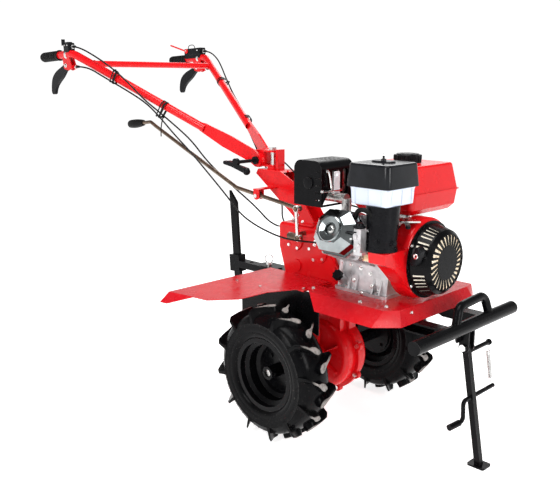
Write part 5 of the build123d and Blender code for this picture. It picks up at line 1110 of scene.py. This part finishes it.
def stack(mesh, middle, sections, close_first=True, close_last=True):
    """Join rounded outlines, each given as a height, half sizes and a corner radius."""
    loops = []
    for height, half_x, half_y, corner in sections:
        lift = Vector((0, 0, height))
        outline = rounded_outline(half_x, half_y, corner)
        loops.append([mesh.verts.new(middle + (spot + lift) * MM) for spot in outline])
    count = len(loops[0])
    for low, high in zip(loops, loops[1:]):
        for step in range(count):
            step_on = (step + 1) % count
            mesh.faces.new((low[step], low[step_on], high[step_on], high[step]))
    if close_first:
        mesh.faces.new(list(reversed(loops[0])))
    if close_last:
        mesh.faces.new(loops[-1])


def square(rows):
    """Sections of a square moulding, each a height, one half size and a corner radius."""
    return [(height, half, half, corner) for height, half, corner in rows]


print("moulding helpers ready")

# %% [markdown]
# The lid is glossy, with sloping sides, a soft upper edge and a raised pad that carries the wing
# nut. Its skin is about three millimetres thick, and a rounded lip joins the two faces below.

# %% Lid
AIR = at(289, -129, 786)
lid_mesh = bmesh.new()
inside = square([(60.4, 62, 12), (56, 65.8, 12.5), (0, 70.4, 12.5)])
outside = square([(0, 73, 15), (3, 73, 15), (56, 68.6, 15), (60, 67.4, 15), (62.4, 65, 14)])
outside += square([(63, 61, 12)])
lip = square([(0, 70.4, 12.5), (-0.6, 71.8, 14), (0, 73, 15)])
stack(lid_mesh, AIR, inside, close_last=False)
stack(lid_mesh, AIR, outside, close_first=False)
stack(lid_mesh, AIR, lip, close_first=False, close_last=False)
bmesh.ops.remove_doubles(lid_mesh, verts=lid_mesh.verts, dist=1e-6)
stack(lid_mesh, AIR, [(62.6, 36, 18, 17), (66, 35, 17, 16.5), (67.6, 33, 15, 14.5)])
knob = [(8, 0), (7.4, 1), (7, 4.6), (5.6, 5.6), (3, 6), (3, 13), (2, 13.6)]
lathe(lid_mesh, AIR + Vector((0, 0, 0.067)), (0, 0, 1), knob, 24)
lid_shell = piece("air_lid_moulding", lid_mesh, "lid", "air_cover")
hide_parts("air_lid")
print("lid", len(lid_shell.data.polygons), "faces")

# %% [markdown]
# The bowl under the lid is milky plastic. It has a flange to clip the lid on and three upright
# ribs on each side, drawn as thin tubes that sink half into the wall.

# %% Bowl
RIB_SEAT, RIB_FOOT = 63.6, -45
bowl_mesh = bmesh.new()
outer = square([(-48, 60, 10), (-46, 62.4, 12), (-6, 64.6, 13), (-4, 66, 13.5), (0, 66, 13.5)])
inner = square([(0, 62.6, 11), (-44, 60.4, 10), (-45.5, 58, 9)])
stack(bowl_mesh, AIR, outer + inner)
for sign in (-1, 1):
    for shift in (-44, 0, 44):
        for seat, way in (
            ((sign * RIB_SEAT, shift, RIB_FOOT), (sign, 0)),
            ((shift, sign * RIB_SEAT, RIB_FOOT), (0, sign)),
        ):
            foot = AIR + Vector(seat) * MM
            waist = foot + Vector((way[0] * 0.8, way[1] * 0.8, 20)) * MM
            head = foot + Vector((way[0] * 1.4, way[1] * 1.4, 39)) * MM
            tube(bowl_mesh, [foot, waist, head], 1.6, 8)
bowl_shell = piece("air_bowl_moulding", bowl_mesh, "bowl", "machine")
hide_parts("air_bowl")
print("bowl", len(bowl_shell.data.polygons), "faces")

# %% [markdown]
# ### Small fixings
# Bolts hold the engine's castings together. Each bolt on the crankcase's flank is dropped on
# the casting along a straight line until it meets the metal, so it sits on the skin and neither
# floats nor sinks; four more are set at fixed places round the starter.


# %% Engine bolts
FLANK_Y = -400


def seat_on(name, start, way):
    """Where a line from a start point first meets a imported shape."""
    shape = nodes[name]
    inverse = shape.matrix_world.inverted()
    aim = (inverse.to_3x3() @ Vector(way)).normalized()
    hit, place, _, _ = shape.ray_cast(inverse @ start, aim)
    return (shape.matrix_world @ place) if hit else None


case_bolts = [(150, 534), (120, 474), (164, 490), (206, 462), (104, 520), (236, 486)]
case_bolts += [(186, 530), (150, 452), (222, 520)]
studs = bmesh.new()
for x, z in case_bolts:
    spot = seat_on("crankcase", at(x, FLANK_Y, z), (0, 1, 0))
    if spot:
        bolt(studs, spot, (0, -1, 0), 4.6)
for angle in (35, 150, 215, 330):
    out = Vector((0, math.cos(math.radians(angle)), math.sin(math.radians(angle))))
    bolt(studs, at(365, 0, CRANK_Z) + out * 106 * MM, (1, 0, 0), 4.2)
piece("engine_studs", studs, "zinc", "machine")
eyelet = bmesh.new()
eye = [(7.5, -0.5), (7.5, 0.6), (6, 1.4), (2.5, 0.8), (2.5, -0.5)]
eye_seat = seat_on("starter_handle", at(398, -300, 606), (0, 1, 0)) or at(398, -121, 606)
lathe(eyelet, eye_seat, (0, -1, 0), eye, 24)
piece("starter_eyelet", eyelet, "zinc", "pull_handle")
print(len(case_bolts) + 4, "engine bolts and an eyelet")

# %% [markdown]
# Behind the muffler guard's open front hang a pale enamelled plate and two bright stays. The
# plate's enamel glows a little, as painted light. The plate is one rounded outline drawn out by
# two millimetres.

# %% Muffler guard inside
PLATE_Y = -121
PLATE_BACK, PLATE_FRONT = 118.6, 120.6
plate = bmesh.new()
rounded = [Vector((0, spot.x, spot.y)) for spot in rounded_outline(12, 41, 5)]
skins = []
for depth in (PLATE_BACK, PLATE_FRONT):
    skins.append([plate.verts.new(at(depth, PLATE_Y, 769) + spot * MM) for spot in rounded])
back, front = skins
for step in range(len(rounded)):
    step_on = (step + 1) % len(rounded)
    plate.faces.new((back[step], back[step_on], front[step_on], front[step]))
plate.faces.new(list(reversed(back)))
plate.faces.new(front)
bolt(plate, at(PLATE_FRONT, PLATE_Y, 798), (1, 0, 0), 4)
piece("guard_plate", plate, "enamel", "machine", smooth=False)
rods = bmesh.new()
hook = [(124, -162, 812), (126, -158, 800), (127, -152, 760), (126, -142, 745), (123, -134, 742)]
tube(rods, smooth_route("guard_rod", [at(*stop) for stop in hook], 5), 3.4, 10)
tube(rods, [at(124, -186, 757), at(128, -150, 756), at(124, -106, 755)], 2.6, 10)
for y, z in ((-162, 812), (-184, 757), (-107, 755)):
    bolt(rods, at(PLATE_BACK, y, z), (1, 0, 0), 4.0)
piece("guard_rods", rods, "zinc", "machine")
plug = bmesh.new()
button = [(0.2, 0), (11, 0), (16, 0.6), (16.6, 2.4), (13, 3.2), (0.2, 3.4)]
lathe(plug, at(71, -189, 778), (0, -1, 0), button, 36)
piece("guard_disc", plug, "guard", "machine")
print("muffler guard dressed")

# %% [markdown]
# A black sheet hangs from the tray inside the right wheel as painted shade: it fills the gap
# between the tray and the tyre with black. It is a strip three millimetres thick: straight along
# the top, gently arched along the foot.

# %% Painted shade sheet inside the right wheel
SHEET_STEPS = 24
SHEET_START, SHEET_LONG = -236, 336
SHEET_TOP, SHEET_FOOT = 449, 322
shade_sheet_mesh = bmesh.new()
top_edge, foot_edge = [], []
for step in range(SHEET_STEPS + 1):
    x = SHEET_START + step / SHEET_STEPS * SHEET_LONG
    top_edge.append((x, SHEET_TOP))
    foot_edge.append((x, SHEET_FOOT + 22 * math.cos(math.pi * (x + 68) / 330)))
sheets = []
for y in (-168, -171):
    high = [shade_sheet_mesh.verts.new(at(x, y, z)) for x, z in top_edge]
    low = [shade_sheet_mesh.verts.new(at(x, y, z)) for x, z in foot_edge]
    sheets.append((high, low))
for step in range(SHEET_STEPS):
    for index, (high, low) in enumerate(sheets):
        quad = (high[step], high[step + 1], low[step + 1], low[step])
        shade_sheet_mesh.faces.new(quad if index else tuple(reversed(quad)))
    for row in (0, 1):
        first, second = sheets[0][row], sheets[1][row]
        quad = (first[step], first[step + 1], second[step + 1], second[step])
        shade_sheet_mesh.faces.new(quad if row else tuple(reversed(quad)))
for step in (0, SHEET_STEPS):
    quad = (sheets[0][0][step], sheets[0][1][step], sheets[1][1][step], sheets[1][0][step])
    shade_sheet_mesh.faces.new(quad)
bmesh.ops.recalc_face_normals(shade_sheet_mesh, faces=shade_sheet_mesh.faces[:])
# A dark sheet that stands in for the shade under the tray: painted shade.
piece("painted_shade_sheet", shade_sheet_mesh, "black", "machine", smooth=False)
print("shade_sheet", SHEET_LONG, "mm long")

# %% [markdown]
# Two bronze-brown nuts hold the shift link, and bright nuts and studs hold the transmission case
# and the tray. The bright nuts and studs are seated by the same straight line as the engine's
# bolts.

# %% Link nuts and tray studs
nuts = bmesh.new()
for x, z in ((-46, 680), (-38, 590)):
    bolt(nuts, at(x, -119, z), (0, -1, 0), 6.2)
piece("link_nuts", nuts, "bronze", "link")
TRAY_TOP = 0.47
case_nuts = bmesh.new()
for x, z in ((-118, 642), (-108, 664), (-96, 622), (-30, 560), (20, 548)):
    start = at(x, FLANK_Y, z)
    spot = seat_on("transmission_case", start, (0, 1, 0)) or seat_on("column", start, (0, 1, 0))
    if spot:
        bolt(case_nuts, spot, (0, -1, 0), 4.4)
for x, y in ((60, -150), (60, -60), (250, -165), (330, -150), (385, -110)):
    spot = seat_on("tray", at(x, y, 700), (0, 0, -1))
    if spot and spot.z < TRAY_TOP:
        bolt(case_nuts, spot, (0, 0, 1), 4.6)
piece("case_nuts", case_nuts, "zinc", "machine")
print("nuts seated")

# %% [markdown]
# ### Tyres
# Each tyre is a round carcass with two staggered rows of claws. A claw is widest near the
# middle of the tread, where its top is worn grey, and thins to a ridge over the shoulder. A
# moulded line runs round the sidewall, with short rubber hairs where the mould was vented.

# %% Tyres
tyre_low, tyre_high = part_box("tyre_right")
TIP = (tyre_high.z - tyre_low.z) / 2 / MM
TRACK = -(tyre_low.y + tyre_high.y) / 2
CROWN = 189
SHOULDER = 178
HALF_WIDTH = 58
CLAWS = 12


def on_wheel(side, angle, radius, offset):
    """A point on a wheel: angle round the axle, radius, and millimetres outward from its middle."""
    out = Vector((math.sin(angle), 0, math.cos(angle)))
    return Vector((AXLE.x, side * (TRACK + offset * MM), AXLE.z)) + out * radius * MM


def carcass_profile():
    """Half section of the carcass from the bead over the sidewall to the crown."""
    half = [(102.2, 30), (102.2, 43), (111, 44.5), (114.5, 48.5), (117, 52), (122, 54.4)]
    half += [(131, 56.9), (133, 56.4), (135, 57.2), (148, HALF_WIDTH), (157, 57.3)]
    half += [(159, 58.2), (161, 56.9)]
    half += [(170, 53), (SHOULDER - 1, 47.5), (182, 40), (186, 26), (188.4, 12), (CROWN, 0)]
    return half


def add_carcass(mesh, side, steps=144):
    """The carcass: its outer section and its inner one, swept once round the wheel."""
    half = carcass_profile()
    bead = half[0][0] + 4
    section = [(radius, -offset) for radius, offset in half] + half[-2::-1]
    section += [(bead, 26), (140, 49), (168, 42), (180, 0), (168, -42), (140, -49), (bead, -26)]
    rings = []
    for step in range(steps):
        angle = 2 * math.pi * step / steps
        spots = [on_wheel(side, angle, radius, offset) for radius, offset in section]
        rings.append([mesh.verts.new(spot) for spot in spots])
    for low, high in zip(rings, rings[1:] + rings[:1]):
        for step in range(len(section)):
            mesh.faces.new((low[step], low[step - 1], high[step - 1], high[step]))


def carcass_radius(offset):
    """Height of the carcass under a claw."""
    share = min(abs(offset) / HALF_WIDTH, 1)
    return CROWN - 3 * share**2 - 24 * share**5


def claw_width(share):
    """Half width of a claw at a share of its length."""
    swell = math.sin(math.pi * min(share * 1.9 + 0.14, 1)) * (1 - share) ** 0.35
    return 5 if share == 0 else 2.5 + 10.5 * swell + 2.5 * share


def claw_tip(share):
    """Height of a claw's top, which drops over the shoulder."""
    return TIP - 14 if share > 0.9 else TIP - 0.3 - 1.2 * share - 11 * max(share - 0.55, 0) ** 1.3


def add_claw(mesh, side, row, angle, sections=11):
    """One claw: sections along a curved line from the crown to the shoulder."""
    rings = []
    for step in range(sections):
        share = step / (sections - 1)
        offset = row * (-9 + 68 * share)
        sweep = angle - (0.02 + 0.20 * share**1.25)
        tip = claw_tip(share)
        foot = carcass_radius(offset) - 4
        ring = [(-1, foot), (-0.8, (foot + tip) / 2), (-0.62, tip - 1.6), (-0.5, tip - 0.3)]
        ring.append((0, tip))
        ring += [(-across, radius) for across, radius in ring[-2::-1]]
        flare = 1.5 if share < 0.8 else 1.2
        verts = []
        for across, radius in ring:
            turn = sweep + across * claw_width(share) * flare / radius
            spot = on_wheel(side, turn, min(radius, TIP - 0.05), offset)
            verts.append(mesh.verts.new(spot))
        rings.append(verts)
    for low, high in zip(rings, rings[1:]):
        for step in range(len(low)):
            mesh.faces.new((low[step], low[step - 1], high[step - 1], high[step]))
    mesh.faces.new(rings[0])
    mesh.faces.new(rings[-1])


def add_hairs(mesh, side, scatter):
    """Short rubber hairs on both sidewalls, bent at random."""
    for face in (1, -1):
        for step in range(60):
            angle = 2 * math.pi * (step + scatter.uniform(-0.35, 0.35)) / 60
            radius, offset = scatter.choice([(159, 58), (150, 57.6), (170, 52.6), (177, 47)])
            root = on_wheel(side, angle, radius, face * offset)
            reach = scatter.uniform(3.5, 8.5) * MM
            lean = Vector((scatter.uniform(-1, 1), side * face * 1.6, scatter.uniform(-1, 1)))
            lean.normalize()
            bend = Vector((scatter.uniform(-1, 1), 0, scatter.uniform(-1, 1))) * reach * 0.4
            hair = [root - lean * 0.001, root + lean * reach * 0.6, root + lean * reach + bend]
            tube(mesh, hair, 0.6, 5, taper=lambda share: 1.15 - 0.7 * share)


scatter = random.Random(7)
for side, word in ((1, "left"), (-1, "right")):
    rubber = bmesh.new()
    add_carcass(rubber, side)
    for row, phase in ((1, 0.0), (-1, 0.5)):
        for step in range(CLAWS):
            add_claw(rubber, side, row, 2 * math.pi * (step + phase) / CLAWS)
    add_hairs(rubber, side, scatter)
    tyre = piece(f"tyre_{word}_rubber", rubber, "tyre", "axle")
    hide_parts(f"tyre_{word}")
    print(tyre.name, len(tyre.data.polygons), "faces")
